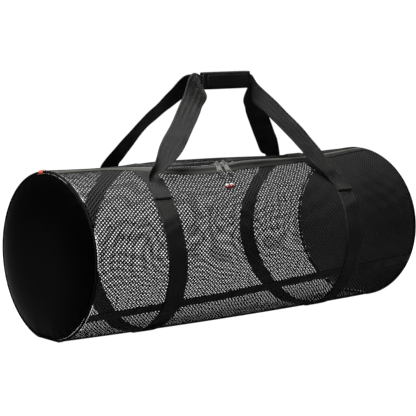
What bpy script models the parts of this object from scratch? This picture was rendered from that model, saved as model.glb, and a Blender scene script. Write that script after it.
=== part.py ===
"""A round mesh dive gear bag at its real size, in metres, with +Z up.

The bag lies on its side. Its axis runs along X and bends a little in plan, so the front
(-Y) side bulges. Places on it are given by three numbers: s, the way along the axis from
its middle; angle, in degrees round the axis from the front (0) over the top (90) to the
rear (180); and lift, the way outwards from the net. skin() turns them into points.
"""
import math

import bpy
import bmesh
import numpy as np
from mathutils import Matrix, Vector

OBJECT_NAME = "mesh_dive_bag"

# Body
BAG_LENGTH = 0.900
BAG_RADIUS = 0.170
PLAN_BEND = 9.8
REST_FLAT = 0.004
NET_WALL = 0.0015
LAYER_GAP = 0.0005
ANGLE_STEP = 7.5

# Ends
PANEL_BULGE = 0.020
PANEL_WALL = 0.003
PANEL_RINGS = (1.0, 0.96, 0.89, 0.76, 0.5, 0.12)
PANEL_CURVE = 5.0
BINDING_RADIUS = 0.0026
BINDING_PROUD = 0.0012
SEAM_GAP = 0.0004

# Webbing
WEBBING_WIDTH = 0.046
WEBBING_THICKNESS = 0.0015
LOWER_STRIP_WIDTH = 0.020
LOWER_STRIP_THICKNESS = 0.0012
CLIMB_CLEARANCE = 1.5
CLIMB_SPREAD = 3.5

# Zip
FACING_WIDTH = 0.019
FACING_THICKNESS = 0.0010
CHAIN_WIDTH = 0.008
CHAIN_THICKNESS = 0.0026
CHAIN_CROWN = 0.0004
SLIDER_LENGTH = 0.013
SLIDER_WIDTH = 0.008
SLIDER_PLATE = 0.0028
SLIDER_BEVEL = 0.0007
BRIDGE_RADIUS = 0.0032
BRIDGE_WIRE = 0.0008
BRIDGE_SUNK = 0.8
PULL_LENGTH = 0.034
PULL_TOP_WIDTH = 0.0085
PULL_FOOT_WIDTH = 0.0135
PULL_THICKNESS = 0.0016
PULL_BAR = 0.0016
PULL_FOOT_BAR = 0.0022
PULL_CORNER = 0.0005
EYE_SHARE = 0.36
CORD_SLOT = 0.0044
SLOT_SIDE = 0.0024
CORD_DIAMETER = 0.0024
CORD_SPREAD = 0.0038
CORD_DROP = 0.0265
TIP_LENGTH = 0.013
TIP_WIDTH = 0.0085
TIP_THICKNESS = 0.0055
TIP_SLIM = (0.85, 0.80)
TIP_BEVEL = 0.0015
TAB_WIDTH = 0.015
TAB_REACH = 0.005
TAB_HANG = 0.003
TAB_THICKNESS = 0.0012

# Handles
GRIP_LENGTH = 0.135
GRIP_HEIGHT = 0.037
GRIP_WALL = 0.004
GRIP_CENTRE_X = 0.0205
GRIP_CENTRE_Z = 0.505
WRAP_ROOM = 0.6
LEG_BEHIND_GRIP = 0.13

# The zip runs along the top and slips towards the front between the girth strips. Lifts
# and dips are shares of the bag's radius.
ZIP_COLUMNS = ("share", "angle", "ridge", "front_dip", "rear_dip", "rear_swell")
ZIP_LINE = (
    (0.00, 88.0, 0.000, 0.000, 0.000, -0.004),
    (0.14, 87.5, -0.006, 0.000, 0.000, -0.024),
    (0.22, 81.0, 0.004, 0.000, 0.006, -0.010),
    (0.30, 73.0, 0.016, 0.012, -0.004, 0.020),
    (0.44, 71.2, 0.020, 0.018, -0.008, 0.022),
    (0.51, 73.0, 0.036, 0.018, 0.000, 0.016),
    (0.58, 73.8, 0.032, 0.014, 0.010, 0.004),
    (0.72, 76.0, 0.007, 0.004, 0.025, -0.026),
    (0.83, 79.5, 0.004, 0.000, 0.018, -0.020),
    (0.92, 84.0, 0.000, 0.000, 0.006, -0.004),
    (1.00, 87.0, 0.000, 0.000, 0.000, 0.000),
)

# The humps that the ridge, dips and swelling make: sign, distance from the zip and width,
# in degrees. The swelling stays at its own angle.
RELIEF_HUMPS = {
    "ridge": (1, 0.0, 4.2),
    "front_dip": (-1, -18.0, 9.0),
    "rear_dip": (-1, 8.0, 6.0),
}
SWELL_ANGLE = 104.0
SWELL_WIDTH = 14.0

# Where the middle of each girth strip is along the bag, as a share of its length. Both
# are sewn on a little askew, further to the right behind than in front.
GIRTH_COLUMNS = ("angle", "left", "right")
GIRTH_CENTRES = (
    (-90.0, 0.230, 0.787),
    (-60.0, 0.225, 0.775),
    (-28.0, 0.221, 0.766),
    (0.0, 0.214, 0.763),
    (21.0, 0.208, 0.763),
    (40.0, 0.208, 0.762),
    (56.0, 0.217, 0.742),
    (75.0, 0.220, 0.732),
    (110.0, 0.250, 0.796),
    (141.0, 0.250, 0.797),
    (165.0, 0.242, 0.790),
    (186.0, 0.241, 0.788),
    (212.0, 0.240, 0.791),
    (240.0, 0.236, 0.793),
    (270.0, 0.230, 0.787),
)

# The lengthwise strip's angle, at shares of the length: it climbs to the right end.
LOWER_STRIP_LINE = (
    (0.00, -38.5),
    (0.27, -34.2),
    (0.38, -32.7),
    (0.46, -30.8),
    (0.61, -27.7),
    (0.82, -25.2),
    (1.00, -23.6),
)

GIRTH_END_ANGLES = {"front": 75.0, "rear": 95.0}
WEBBING_CORNERS = np.array([-0.5, 0.0, 0.5])

# Where the net has corners between the girth strips, as shares of its length from the
# bag's middle.
BAY_STATIONS = (-0.40, -0.17, -0.09, 0.00, 0.10, 0.17, 0.39)

# Where it has corners between the evenly spaced ones and the facings: from the front
# facing down, and up to the rear one.
BROW_SHARES = (0.33, 0.67)
NAPE_SHARES = (0.22, 0.44, 0.64, 0.81, 0.93)

# Each handle leg: the angle of its stitched hem and its twist in degrees. The others
# are shares of the webbing's width: how far past the wrap and below its middle the leg
# turns down, how far it bows out of a straight line, how wide its foot is where it
# leaves the bag, and how far the foot is pulled to the right on its strip.
LEG_COLUMNS = ("face", "side", "hem", "past", "drop", "bow", "twist", "foot", "pulled")
LEG_ROWS = (
    ("front", "left", 42.0, 0.23, 0.03, -0.27, -28.0, 0.52, -0.19),
    ("front", "right", 35.0, 0.32, 0.59, 0.09, -9.0, 1.00, -0.24),
    ("rear", "left", 133.0, 0.52, 0.08, 0.23, 17.0, 1.00, -0.30),
    ("rear", "right", 135.0, 0.20, 0.36, -0.10, -15.0, 1.00, -0.36),
)
LEG_PLACES = {row[:2]: dict(zip(LEG_COLUMNS[2:], row[2:])) for row in LEG_ROWS}

# The sewn foot of a leg, from its hem up: degrees, lift as a share of the webbing's
# width, and how much of the way to its narrow foot the webbing is bunched.
SEWN_COLUMNS = ("angle", "lift", "bunch")
SEWN_ROWS = (
    (0.0, 0.00, 0.00),
    (5.0, 0.00, 0.00),
    (10.0, 0.02, 0.25),
    (16.0, 0.20, 1.00),
)

# The free leg, from the bag to its turn at the wrap: how far along, its width as a
# share of the webbing's, how much it is still bunched, and how far it has turned
# upright for the wrap.
FREE_COLUMNS = ("share", "width", "bunch", "upright")
FREE_ROWS = (
    (0.14, 1.00, 0.88, 0.0),
    (0.32, 1.00, 0.00, 0.0),
    (0.56, 1.00, 0.00, 0.0),
    (0.80, 1.00, 0.00, 0.1),
    (1.00, 0.88, 0.00, 0.5),
)

# Rows of the handle in the wrap, as shares of the wrap's length from its mouth.
WRAP_ROWS = (-0.03, 0.00, 0.06, 0.25)
WRAP_FOLD = 0.50
LEG_STEP = 0.012

# The red tab: how far it folds over the seam and how far it is behind the zip, in
# degrees.
TAB_FOLD = 105.0
TAB_BESIDE_ZIP = 9.5

# Where the two sliders are, as shares of the length, and how far their pulls and cords
# lean to the left for each metre that they hang down.
PULL_PLACES = {"left": 0.428, "right": 0.448}
PULL_SLANT = {"left": 0.40, "right": 0.19}
TIP_DRIFT = {"left": 1.3, "right": 3.6}

STRIP_OUTER = LAYER_GAP + WEBBING_THICKNESS
AXIS_HEIGHT = BAG_RADIUS - REST_FLAT + STRIP_OUTER
BEND = math.radians(PLAN_BEND)
BEND_RADIUS = BAG_LENGTH / BEND
PLAN_SWING = BEND_RADIUS * (1 - math.cos(BEND / 2))
REAR_REACH = PLAN_SWING + (BAG_RADIUS + BINDING_PROUD) * math.cos(BEND / 2)
PLAN_OFFSET = (REAR_REACH - BAG_RADIUS) / 2
SEAM_WIDTH = 2 * BINDING_RADIUS + SEAM_GAP
NET_HALF = BAG_LENGTH / 2 - SEAM_WIDTH

CLOTH_BLACK = (0.012, 0.012, 0.013)
CLOTH_GREY = (0.075, 0.077, 0.072)
METAL_GREY = (0.42, 0.43, 0.42)
TIP_WHITE = (0.75, 0.75, 0.72)
TAB_RED = (0.62, 0.035, 0.02)


def remove_everything():
    """Empty the scene before the bag is built."""
    for item in list(bpy.data.objects):
        bpy.data.objects.remove(item, do_unlink=True)


def read_table(table, at):
    """All columns of a table at one or more places, on a smooth curve through its rows."""
    rows = np.array(table, float)
    place, values = rows[:, 0], rows[:, 1:]
    slope = np.gradient(values, place, axis=0)
    at = np.clip(np.asarray(at, float), place[0], place[-1])
    row = np.clip(np.searchsorted(place, at, side="right") - 1, 0, len(place) - 2)
    step = (place[row + 1] - place[row])[..., None]
    t = (at - place[row])[..., None] / step
    start = (1 + 2 * t) * (1 - t) ** 2 * values[row] + t * (1 - t) ** 2 * step * slope[row]
    end = t**2 * (3 - 2 * t) * values[row + 1] - t**2 * (1 - t) * step * slope[row + 1]
    return start + end


def degrees_along(distance):
    """The angle that a distance round the net covers, in degrees."""
    return math.degrees(distance / BAG_RADIUS)


def hump(distance, width):
    """A smooth swelling of height 1 that fades out over a width."""
    return np.exp(-((distance / width) ** 2))


def zip_row(s):
    """The zip's angle and the lifts and dips around it, by column name."""
    values = read_table(ZIP_LINE, np.asarray(s, float) / BAG_LENGTH + 0.5)
    return {name: values[..., i] for i, name in enumerate(ZIP_COLUMNS[1:])}


def relief(s, angle):
    """How far the top of the bag stands out of a true round, or sinks into it."""
    row = zip_row(s)
    share = row["rear_swell"] * hump(angle - SWELL_ANGLE, SWELL_WIDTH)
    for name, (sign, offset, width) in RELIEF_HUMPS.items():
        share = share + sign * row[name] * hump(angle - row["angle"] - offset, width)
    return BAG_RADIUS * share


def axis_point(s):
    """The bag's axis in plan: an arc whose ends swing back. Gives a point, the way
    along and the way to the front."""
    turn = np.asarray(s, float) / BEND_RADIUS
    zero = np.zeros_like(turn)
    swing = BEND_RADIUS * (1 - np.cos(turn)) - PLAN_OFFSET
    point = np.stack([BEND_RADIUS * np.sin(turn), swing, zero + AXIS_HEIGHT], axis=-1)
    along = np.stack([np.cos(turn), np.sin(turn), zero], axis=-1)
    front = np.stack([np.sin(turn), -np.cos(turn), zero], axis=-1)
    return point, along, front


def skin(s, angle, lift=0.0):
    """Points on the bag: out from the axis by the radius, the relief and the lift, and
    never below the flat that the bag rests on."""
    s, angle, lift = np.broadcast_arrays(*(np.asarray(x, float) for x in (s, angle, lift)))
    point, _, front = axis_point(s)
    reach = BAG_RADIUS + relief(s, upright(angle)) + lift
    turn = np.radians(angle)
    point = point + (reach * np.cos(turn))[..., None] * front
    point[..., 2] += reach * np.sin(turn)
    point[..., 2] = np.maximum(point[..., 2], np.maximum(STRIP_OUTER - lift, 0.0))
    return point


def upright(angle):
    """The same angle between -90 (bottom) and 270."""
    return (np.asarray(angle, float) + 90.0) % 360.0 - 90.0


def girth_centre(side, angle):
    """Where along the axis a girth strip's middle is, at an angle round the bag."""
    share = read_table(GIRTH_CENTRES, upright(angle))[..., GIRTH_COLUMNS.index(side) - 1]
    return (share - 0.5) * BAG_LENGTH


def surface_frame(s, angle, lift):
    """A matrix whose X runs along the bag, Y up its side and Z outwards."""
    small = 1e-4
    along = Vector(skin(s + small, angle, lift) - skin(s - small, angle, lift)).normalized()
    small = degrees_along(small)
    upward = Vector(skin(s, angle + small, lift) - skin(s, angle - small, lift))
    outward = along.cross(upward).normalized()
    return axes_matrix(Vector(skin(s, angle, lift)), along, outward.cross(along), outward)


def axes_matrix(origin, x_axis, y_axis, z_axis):
    """A placing matrix from its origin and three axes."""
    matrix = Matrix((x_axis, y_axis, z_axis)).transposed().to_4x4()
    matrix.translation = origin
    return matrix


def plain_material(name, colour, roughness, metallic=0.0):
    """One Principled material."""
    material = bpy.data.materials.new(name)
    material.use_nodes = True
    shader = material.node_tree.nodes["Principled BSDF"]
    shader.inputs["Base Color"].default_value = (*colour, 1.0)
    shader.inputs["Roughness"].default_value = roughness
    shader.inputs["Metallic"].default_value = metallic
    return material


def add_object(name, data, material):
    """Put a mesh or curve in the bag's collection, under its empty."""
    item = bpy.data.objects.new(name, data)
    bpy.data.collections[OBJECT_NAME].objects.link(item)
    item.parent = bpy.data.objects[OBJECT_NAME]
    item.data.materials.append(material)
    return item


def grid_mesh(name, points, closed=(False, False)):
    """A mesh of quads on a grid of points, closed along either way or both."""
    rows, columns = points.shape[:2]
    number = np.arange(rows * columns).reshape(rows, columns)
    if closed[0]:
        number = np.vstack([number, number[:1]])
    if closed[1]:
        number = np.hstack([number, number[:, :1]])
    corners = (number[:-1, :-1], number[:-1, 1:], number[1:, 1:], number[1:, :-1])
    faces = np.stack(corners, axis=-1).reshape(-1, 4)
    mesh = bpy.data.meshes.new(name)
    mesh.from_pydata(points.reshape(-1, 3).tolist(), [], faces.tolist())
    mesh.shade_smooth()
    return mesh


def face_outwards(mesh):
    """Turn a closed mesh's faces to point out."""
    shape = bmesh.new()
    shape.from_mesh(mesh)
    bmesh.ops.recalc_face_normals(shape, faces=shape.faces)
    shape.to_mesh(mesh)
    shape.free()


def thicken(item, thickness, offset):
    """Give an open surface its wall: offset -1 is inwards and 0 is both ways."""
    wall = item.modifiers.new("Wall", "SOLIDIFY")
    wall.thickness = thickness
    wall.offset = offset
    wall.use_even_offset = True
    return item


def cloth_sheet(name, points, thickness, material, offset=-1.0):
    """A sheet of cloth on a grid of points, with its wall. Rows run along the bag and
    columns down its front, so that the faces point outwards and the wall goes in."""
    return thicken(add_object(name, grid_mesh(name, points), material), thickness, offset)


def zip_side_angles(s, side, parts):
    """Angles across one side of the zip, from its chain to the facing's outer edge."""
    near = degrees_along(CHAIN_WIDTH / 2 + LAYER_GAP)
    far = near + degrees_along(FACING_WIDTH)
    away = np.linspace(near, far, parts + 1)
    sign = -1 if side == "front" else 1
    return zip_row(s)["angle"][..., None] + sign * away


def lengthwise_stations():
    """Places along the axis where the net and what lies on it have their corners."""
    places = [share * BAG_LENGTH for share in BAY_STATIONS]
    for side in ("left", "right"):
        front, rear = (float(girth_centre(side, angle)) for angle in GIRTH_END_ANGLES.values())
        ends = (min(front, rear) - WEBBING_WIDTH / 2, max(front, rear) + WEBBING_WIDTH / 2)
        places += [ends[0], sum(ends) / 2, ends[1]]
    return np.array(sorted([-NET_HALF, NET_HALF, *places]))


def round_angles():
    """Fixed angles round the underside, from the upper front down to the upper rear."""
    return np.arange(52.5, -240.1, -ANGLE_STEP)


def side_angles(front_s, rear_s, extra=()):
    """Angles from the front facing's edge round the underside to the rear facing's."""
    front = zip_side_angles(front_s, "front", 1)[..., 1:]
    rear = zip_side_angles(rear_s, "rear", 1)[..., 1:] - 360.0
    fixed = np.array(sorted([*round_angles(), *extra], reverse=True))
    fixed = np.broadcast_to(fixed, (*np.shape(front_s), len(fixed)))
    brow = front + (fixed[..., :1] - front) * np.array(BROW_SHARES)
    nape = fixed[..., -1:] + (rear - fixed[..., -1:]) * np.array(NAPE_SHARES)
    return np.concatenate([front, brow, fixed, nape, rear], axis=-1)


def body_angles(s):
    """All angles of the net at each place: zip edge, facing, sides, facing, zip edge."""
    front = zip_side_angles(s, "front", 3)[..., :-1]
    rear = zip_side_angles(s, "rear", 3)[..., -2::-1] - 360.0
    return np.concatenate([front, side_angles(s, s), rear], axis=-1)


def net_body():
    """The net tube: a C in section, open along the zip and at both ends."""
    s = lengthwise_stations()
    angle = body_angles(s)
    points = skin(s[:, None], angle)
    material = plain_material("black_net", CLOTH_BLACK, 0.7)
    return cloth_sheet("mesh_body", points, NET_WALL, material)


def zip_facing(side):
    """A cloth band along one side of the zip, on top of the net."""
    s = lengthwise_stations()
    angle = zip_side_angles(s, side, 3)
    angle = angle if side == "front" else angle[:, ::-1]
    points = skin(s[:, None], angle, LAYER_GAP + FACING_THICKNESS)
    material = plain_material(f"facing_cloth_{side}", CLOTH_GREY, 0.75)
    return cloth_sheet(f"zip_facing_{side}", points, FACING_THICKNESS, material)


def zip_chain():
    """The closed zip's coil, as one low bar between the facings."""
    s = lengthwise_stations()
    half = degrees_along(CHAIN_WIDTH / 2)
    angle = zip_row(s)["angle"][:, None] + np.array([half, 0.0, -half])
    lift = LAYER_GAP + FACING_THICKNESS + CHAIN_CROWN * np.array([-1.0, 0.0, -1.0])
    points = skin(s[:, None], angle, lift)
    material = plain_material("zip_coil", CLOTH_BLACK, 0.45)
    return cloth_sheet("zip_chain", points, CHAIN_THICKNESS, material)


def strip_crossing(angle, middle):
    """From 0 to 1 and back, where a girth strip climbs over the lengthwise strip."""
    edge = degrees_along(LOWER_STRIP_WIDTH / 2) + CLIMB_CLEARANCE
    away = np.abs(upright(angle) - middle)
    return np.clip((edge + CLIMB_SPREAD - away) / CLIMB_SPREAD, 0.0, 1.0)


def lower_strip_angle(s):
    """The lengthwise strip's middle angle."""
    share = np.asarray(s, float) / BAG_LENGTH + 0.5
    return read_table(LOWER_STRIP_LINE, share)[..., 0]


def lower_strip():
    """Narrow webbing along the lower front, from seam to seam, under the girth strips."""
    s = lengthwise_stations()
    half = degrees_along(LOWER_STRIP_WIDTH / 2)
    angle = lower_strip_angle(s)[:, None] + np.array([half, 0.0, -half])
    points = skin(s[:, None], angle, LAYER_GAP + LOWER_STRIP_THICKNESS)
    material = plain_material("narrow_webbing", CLOTH_BLACK, 0.6)
    return cloth_sheet("lower_strip", points, LOWER_STRIP_THICKNESS, material)


def girth_end(side, face):
    """Where the corners of a girth strip's end are along the bag: at the facing's edge,
    which slants, so the place is worked out in a few rounds."""
    corners = WEBBING_CORNERS * WEBBING_WIDTH
    s = girth_centre(side, GIRTH_END_ANGLES[face]) + corners
    for _ in range(4):
        s = girth_centre(side, zip_side_angles(s, face, 1)[..., 1]) + corners
    return s


def girth_strip(side):
    """Webbing round the body from one zip facing to the other, over the lower strip."""
    middle = float(lower_strip_angle(girth_centre(side, LOWER_STRIP_LINE[0][1])))
    edge = degrees_along(LOWER_STRIP_WIDTH / 2) + CLIMB_CLEARANCE
    away = (-edge - CLIMB_SPREAD, -edge, edge, edge + CLIMB_SPREAD)
    ends = [girth_end(side, face) for face in ("front", "rear")]
    angle = side_angles(*ends, extra=[middle + degrees for degrees in away])
    angle[:, 0] -= degrees_along(LAYER_GAP)
    angle[:, -1] += degrees_along(LAYER_GAP)
    corners = WEBBING_CORNERS * WEBBING_WIDTH
    s = girth_centre(side, angle) + corners[:, None]
    climb = strip_crossing(angle, middle) * (LAYER_GAP + LOWER_STRIP_THICKNESS)
    points = skin(s, angle, STRIP_OUTER + climb)
    material = plain_material(f"webbing_girth_{side}", CLOTH_BLACK, 0.6)
    return cloth_sheet(f"girth_strip_{side}", points, WEBBING_THICKNESS, material)


def end_panel(side):
    """A domed round panel whose rim sits inside the bound seam."""
    sign = -1 if side == "left" else 1
    s = sign * (BAG_LENGTH / 2 - BINDING_RADIUS + PANEL_WALL / 2)
    centre, along, _ = axis_point(s)
    angle = np.arange(0.0, 360.0, ANGLE_STEP)
    inset = BINDING_PROUD - 2 * BINDING_RADIUS - SEAM_GAP
    rim = skin(s, angle, inset)
    share = np.array(PANEL_RINGS)[:, None, None]
    bulge = sign * PANEL_BULGE * (1 - share**PANEL_CURVE)
    points = centre + share * (rim - centre) + bulge * along
    mesh = grid_mesh(f"end_panel_{side}", points, closed=(False, True))
    close_pole(mesh, points, centre + sign * PANEL_BULGE * along, flip=side == "right")
    material = plain_material(f"end_cloth_{side}", CLOTH_BLACK, 0.5)
    return thicken(add_object(mesh.name, mesh, material), PANEL_WALL, -1.0)


def close_pole(mesh, points, pole, flip):
    """Close the last ring of a grid mesh with a fan, and turn all faces the right way."""
    rings, count = points.shape[:2]
    shape = bmesh.new()
    shape.from_mesh(mesh)
    shape.verts.ensure_lookup_table()
    ring = shape.verts[(rings - 1) * count : rings * count]
    tip = shape.verts.new(pole)
    for here, there in zip(ring, [*ring[1:], ring[0]]):
        shape.faces.new((here, there, tip))
    if flip:
        bmesh.ops.reverse_faces(shape, faces=shape.faces)
    shape.to_mesh(mesh)
    shape.free()
    mesh.shade_smooth()


def end_binding(side):
    """The bound seam between net and panel: a bead that follows the bag's end."""
    sign = -1 if side == "left" else 1
    turn = np.radians(np.arange(0.0, 360.0, 60.0))[:, None]
    angle = np.arange(0.0, 360.0, ANGLE_STEP)
    s = sign * (BAG_LENGTH / 2 - BINDING_RADIUS) + BINDING_RADIUS * np.cos(turn)
    lift = BINDING_PROUD - BINDING_RADIUS + BINDING_RADIUS * np.sin(turn)
    mesh = grid_mesh(f"end_binding_{side}", skin(s, angle, lift), closed=(True, True))
    face_outwards(mesh)
    return add_object(mesh.name, mesh, plain_material(f"binding_{side}", CLOTH_BLACK, 0.6))


def tab_profile(steps):
    """The tab's outer face from the net over the bound seam and a little way down the
    end: how far beyond the seam's middle and how far above the net."""
    on_net = max(BINDING_PROUD, FACING_THICKNESS + LAYER_GAP) + LAYER_GAP + TAB_THICKNESS
    centre = BINDING_PROUD - BINDING_RADIUS
    radius = on_net - centre
    turn = np.radians(np.linspace(0.0, TAB_FOLD, steps))
    beyond = np.hstack([-TAB_REACH, radius * np.sin(turn), radius * np.sin(turn[-1])])
    above = np.hstack([on_net, centre + radius * np.cos(turn), 0.0])
    above[-1] = above[-2] - TAB_HANG
    return beyond, above


def zip_tab():
    """A small red tab folded over the seam at the zip's left end."""
    beyond, above = tab_profile(6)
    s = BINDING_RADIUS - BAG_LENGTH / 2 - beyond[:, None]
    middle = zip_row(-BAG_LENGTH / 2)["angle"] + TAB_BESIDE_ZIP
    angle = middle + degrees_along(TAB_WIDTH / 2) * np.array([-1.0, 0.0, 1.0])
    points = skin(s, angle, above[:, None])
    return cloth_sheet("zip_tab", points, TAB_THICKNESS, plain_material("red_tab", TAB_RED, 0.6))


def running_length(line):
    """How far along a line each of its points is."""
    steps = np.linalg.norm(np.diff(line, axis=0), axis=1)
    return np.concatenate([[0.0], np.cumsum(steps)])


def smooth_line(points, step, *others):
    """A smooth curve through all points, with a point about every step between them.
    Other columns that belong to the points are read along with them."""
    run = running_length(np.array(points))
    counts = [max(1, round(gap / step)) for gap in np.diff(run)]
    spans = zip(run[:-1], run[1:], counts)
    places = [np.linspace(start, end, count, endpoint=False) for start, end, count in spans]
    return read_table(np.column_stack([run, points, *others]), np.hstack([*places, run[-1:]]))


def unit(vector):
    """Vectors of length 1."""
    return vector / np.linalg.norm(vector, axis=-1, keepdims=True)


def sewn_rows(face, side):
    """The sewn foot of a handle leg on its girth strip: middles and half widths, which
    point to the middle of the bag."""
    table = dict(zip(SEWN_COLUMNS, np.array(SEWN_ROWS).T))
    up = 1 if face == "front" else -1
    inward = 1 if side == "left" else -1
    angle = LEG_PLACES[face, side]["hem"] + up * table["angle"]
    lift = STRIP_OUTER + LAYER_GAP + WEBBING_THICKNESS / 2 + WEBBING_WIDTH * table["lift"]
    place = LEG_PLACES[face, side]
    s = girth_centre(side, angle) + place["pulled"] * table["bunch"] * WEBBING_WIDTH
    width = 1 - (1 - place["foot"]) * table["bunch"]
    half = inward * axis_point(s)[1] * width[:, None] * WEBBING_WIDTH / 2
    return skin(s, angle, lift), half


def wrap_rows(face, side):
    """The handle's rows from a wrap's mouth inwards: middles, and half widths, which
    point down."""
    outward = -1 if side == "left" else 1
    to_rear = -1 if face == "front" else 1
    x = GRIP_CENTRE_X + outward * (0.5 - np.array(WRAP_ROWS)) * GRIP_LENGTH
    y = to_rear * (LAYER_GAP + WEBBING_THICKNESS) * WRAP_ROOM
    middle = np.array([(place, y, GRIP_CENTRE_Z) for place in x])
    down = np.array([0.0, 0.0, -WRAP_FOLD * WEBBING_WIDTH / 2])
    return middle, np.broadcast_to(down, middle.shape)


def free_rows(face, side, root, mouth):
    """The free leg between its root on the bag and the wrap's mouth: middles and half
    widths. It bows out a little and is twisted a little about its own line."""
    table = dict(zip(FREE_COLUMNS, np.array(FREE_ROWS).T[..., None]))
    place = LEG_PLACES[face, side]
    outward = -1 if side == "left" else 1
    to_rear = -1 if face == "front" else 1
    turn = np.array([outward * place["past"], to_rear * LEG_BEHIND_GRIP, -place["drop"]])
    chord = mouth + WEBBING_WIDTH * turn - root
    way = unit(chord)
    bow = place["bow"] * WEBBING_WIDTH * unit(np.array([0.0, 0.0, 1.0]) - way[2] * way)
    middle = root + table["share"] * chord + np.sin(np.pi * table["share"]) * bow
    across = unit(np.array([-outward, 0.0, 0.0]) + outward * way[0] * way)
    twist = np.radians(place["twist"]) * np.sin(np.pi * table["share"])
    level = np.cos(twist) * across + np.sin(twist) * np.cross(way, across)
    down = np.array([0.0, 0.0, -1.0])
    half = unit((1 - table["upright"]) * level + table["upright"] * down)
    width = table["width"] * (1 - (1 - place["foot"]) * table["bunch"])
    return middle, half * width * WEBBING_WIDTH / 2


def handle_leg(face, side):
    """One leg, from its stitched hem up into the wrap: middles and half widths."""
    sewn, sewn_half = sewn_rows(face, side)
    wrap, wrap_half = wrap_rows(face, side)
    free, free_half = free_rows(face, side, sewn[-1], wrap[1])
    middle = np.vstack([sewn, free, wrap])
    half = np.vstack([sewn_half, free_half, wrap_half])
    rows = smooth_line(middle, LEG_STEP, half)
    return rows[:, :3], rows[:, 3:]


def handle(face):
    """A webbing handle: left leg, the stretch folded inside the wrap, right leg."""
    left, left_half = handle_leg(face, "left")
    right, right_half = handle_leg(face, "right")
    middle = np.vstack([left, right[::-1]])
    half = np.vstack([left_half, right_half[::-1]])
    points = middle[:, None] + np.array([-1.0, 0.0, 1.0])[None, :, None] * half[:, None]
    material = plain_material(f"webbing_handle_{face}", CLOTH_BLACK, 0.6)
    return cloth_sheet(f"handle_{face}", points, WEBBING_THICKNESS, material, offset=0.0)


def rounded_section(height, depth, corners):
    """A closed outline in Y and Z: a slim rectangle with half-round long edges."""
    turn = np.radians(np.linspace(0.0, 180.0, corners))
    radius = depth / 2
    top = np.stack([radius * np.cos(turn), height / 2 - radius + radius * np.sin(turn)], axis=-1)
    return np.vstack([top, -top])


def grip_wrap():
    """The padded sleeve round both handles, open at its two ends."""
    room = 2 * (LAYER_GAP + WEBBING_THICKNESS) * WRAP_ROOM + WEBBING_THICKNESS + 2 * LAYER_GAP
    section = rounded_section(GRIP_HEIGHT, room + 2 * GRIP_WALL, 7)
    x = GRIP_CENTRE_X + np.linspace(-0.5, 0.5, 5) * GRIP_LENGTH
    points = np.empty((len(x), len(section), 3))
    points[..., 0] = x[:, None]
    points[..., 1] = section[:, 0]
    points[..., 2] = GRIP_CENTRE_Z + section[:, 1]
    mesh = grid_mesh("grip_wrap", points, closed=(False, True))
    material = plain_material("grip_cloth", CLOTH_BLACK, 0.55)
    return thicken(add_object("grip_wrap", mesh, material), GRIP_WALL, -1.0)


def pull_anchor(side):
    """Where a slider is: its place along the bag and the zip's angle there."""
    s = (PULL_PLACES[side] - 0.5) * BAG_LENGTH
    return s, float(zip_row(s)["angle"])


def slider(side):
    """A zip slider: a bevelled plate on the coil and a wire bridge across it."""
    s, angle = pull_anchor(side)
    base = LAYER_GAP + FACING_THICKNESS + LAYER_GAP
    place = surface_frame(s, angle, base)
    shape = bmesh.new()
    bmesh.ops.create_cube(shape, size=1.0)
    bmesh.ops.scale(shape, vec=(SLIDER_LENGTH, SLIDER_WIDTH, SLIDER_PLATE), verts=shape.verts)
    bmesh.ops.translate(shape, vec=(0.0, 0.0, SLIDER_PLATE / 2), verts=shape.verts)
    bmesh.ops.bevel(shape, geom=shape.edges, offset=SLIDER_BEVEL, segments=2, affect="EDGES")
    mesh = bpy.data.meshes.new(f"zip_slider_{side}")
    shape.to_mesh(mesh)
    shape.free()
    item = add_object(mesh.name, mesh, plain_material(f"slider_metal_{side}", METAL_GREY, 0.3, 1.0))
    item.matrix_local = place
    bridge = bridge_ring(f"bridge_{side}", place)
    union = item.modifiers.new("Bridge", "BOOLEAN")
    union.operation = "UNION"
    union.object = bridge
    return item


def bridge_ring(name, place):
    """The ring whose upper half is the slider's bridge. It is a cutter, not a part."""
    bpy.ops.mesh.primitive_torus_add(
        major_radius=BRIDGE_RADIUS, minor_radius=BRIDGE_WIRE, major_segments=16, minor_segments=8
    )
    ring = bpy.context.object
    ring.name = name
    for collection in list(ring.users_collection):
        collection.objects.unlink(ring)
    bpy.data.collections["cutters"].objects.link(ring)
    upright_ring = Matrix.Rotation(math.radians(90.0), 4, "Y")
    centre = Matrix.Translation((0.0, 0.0, SLIDER_PLATE + bridge_centre()))
    ring.matrix_world = place @ centre @ upright_ring
    ring.hide_render = True
    ring.display_type = "WIRE"
    return ring


def bridge_centre():
    """Height of the bridge ring's centre above the plate: its foot stays in the plate."""
    return BRIDGE_RADIUS + BRIDGE_WIRE - SLIDER_PLATE * BRIDGE_SUNK


def pull_frame(side):
    """Placing of a pull plate: X along the bag, Y from its foot up to the bridge."""
    s, angle = pull_anchor(side)
    top_lift = 2 * LAYER_GAP + FACING_THICKNESS + SLIDER_PLATE + bridge_centre()
    top_lift += BRIDGE_RADIUS - BRIDGE_WIRE - PULL_THICKNESS / 2 - SEAM_GAP
    top = Vector(skin(s, angle, top_lift))
    foot_lift = LAYER_GAP + FACING_THICKNESS + 2 * SEAM_GAP + CORD_DIAMETER + PULL_THICKNESS
    foot_angle = angle - degrees_along(PULL_LENGTH)
    foot = Vector(skin(s - PULL_SLANT[side] * PULL_LENGTH, foot_angle, foot_lift))
    upward = (top - foot).normalized()
    _, along, _ = axis_point(s)
    outward = Vector(along).cross(upward).normalized()
    return axes_matrix(top, upward.cross(outward), upward, outward)


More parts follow.
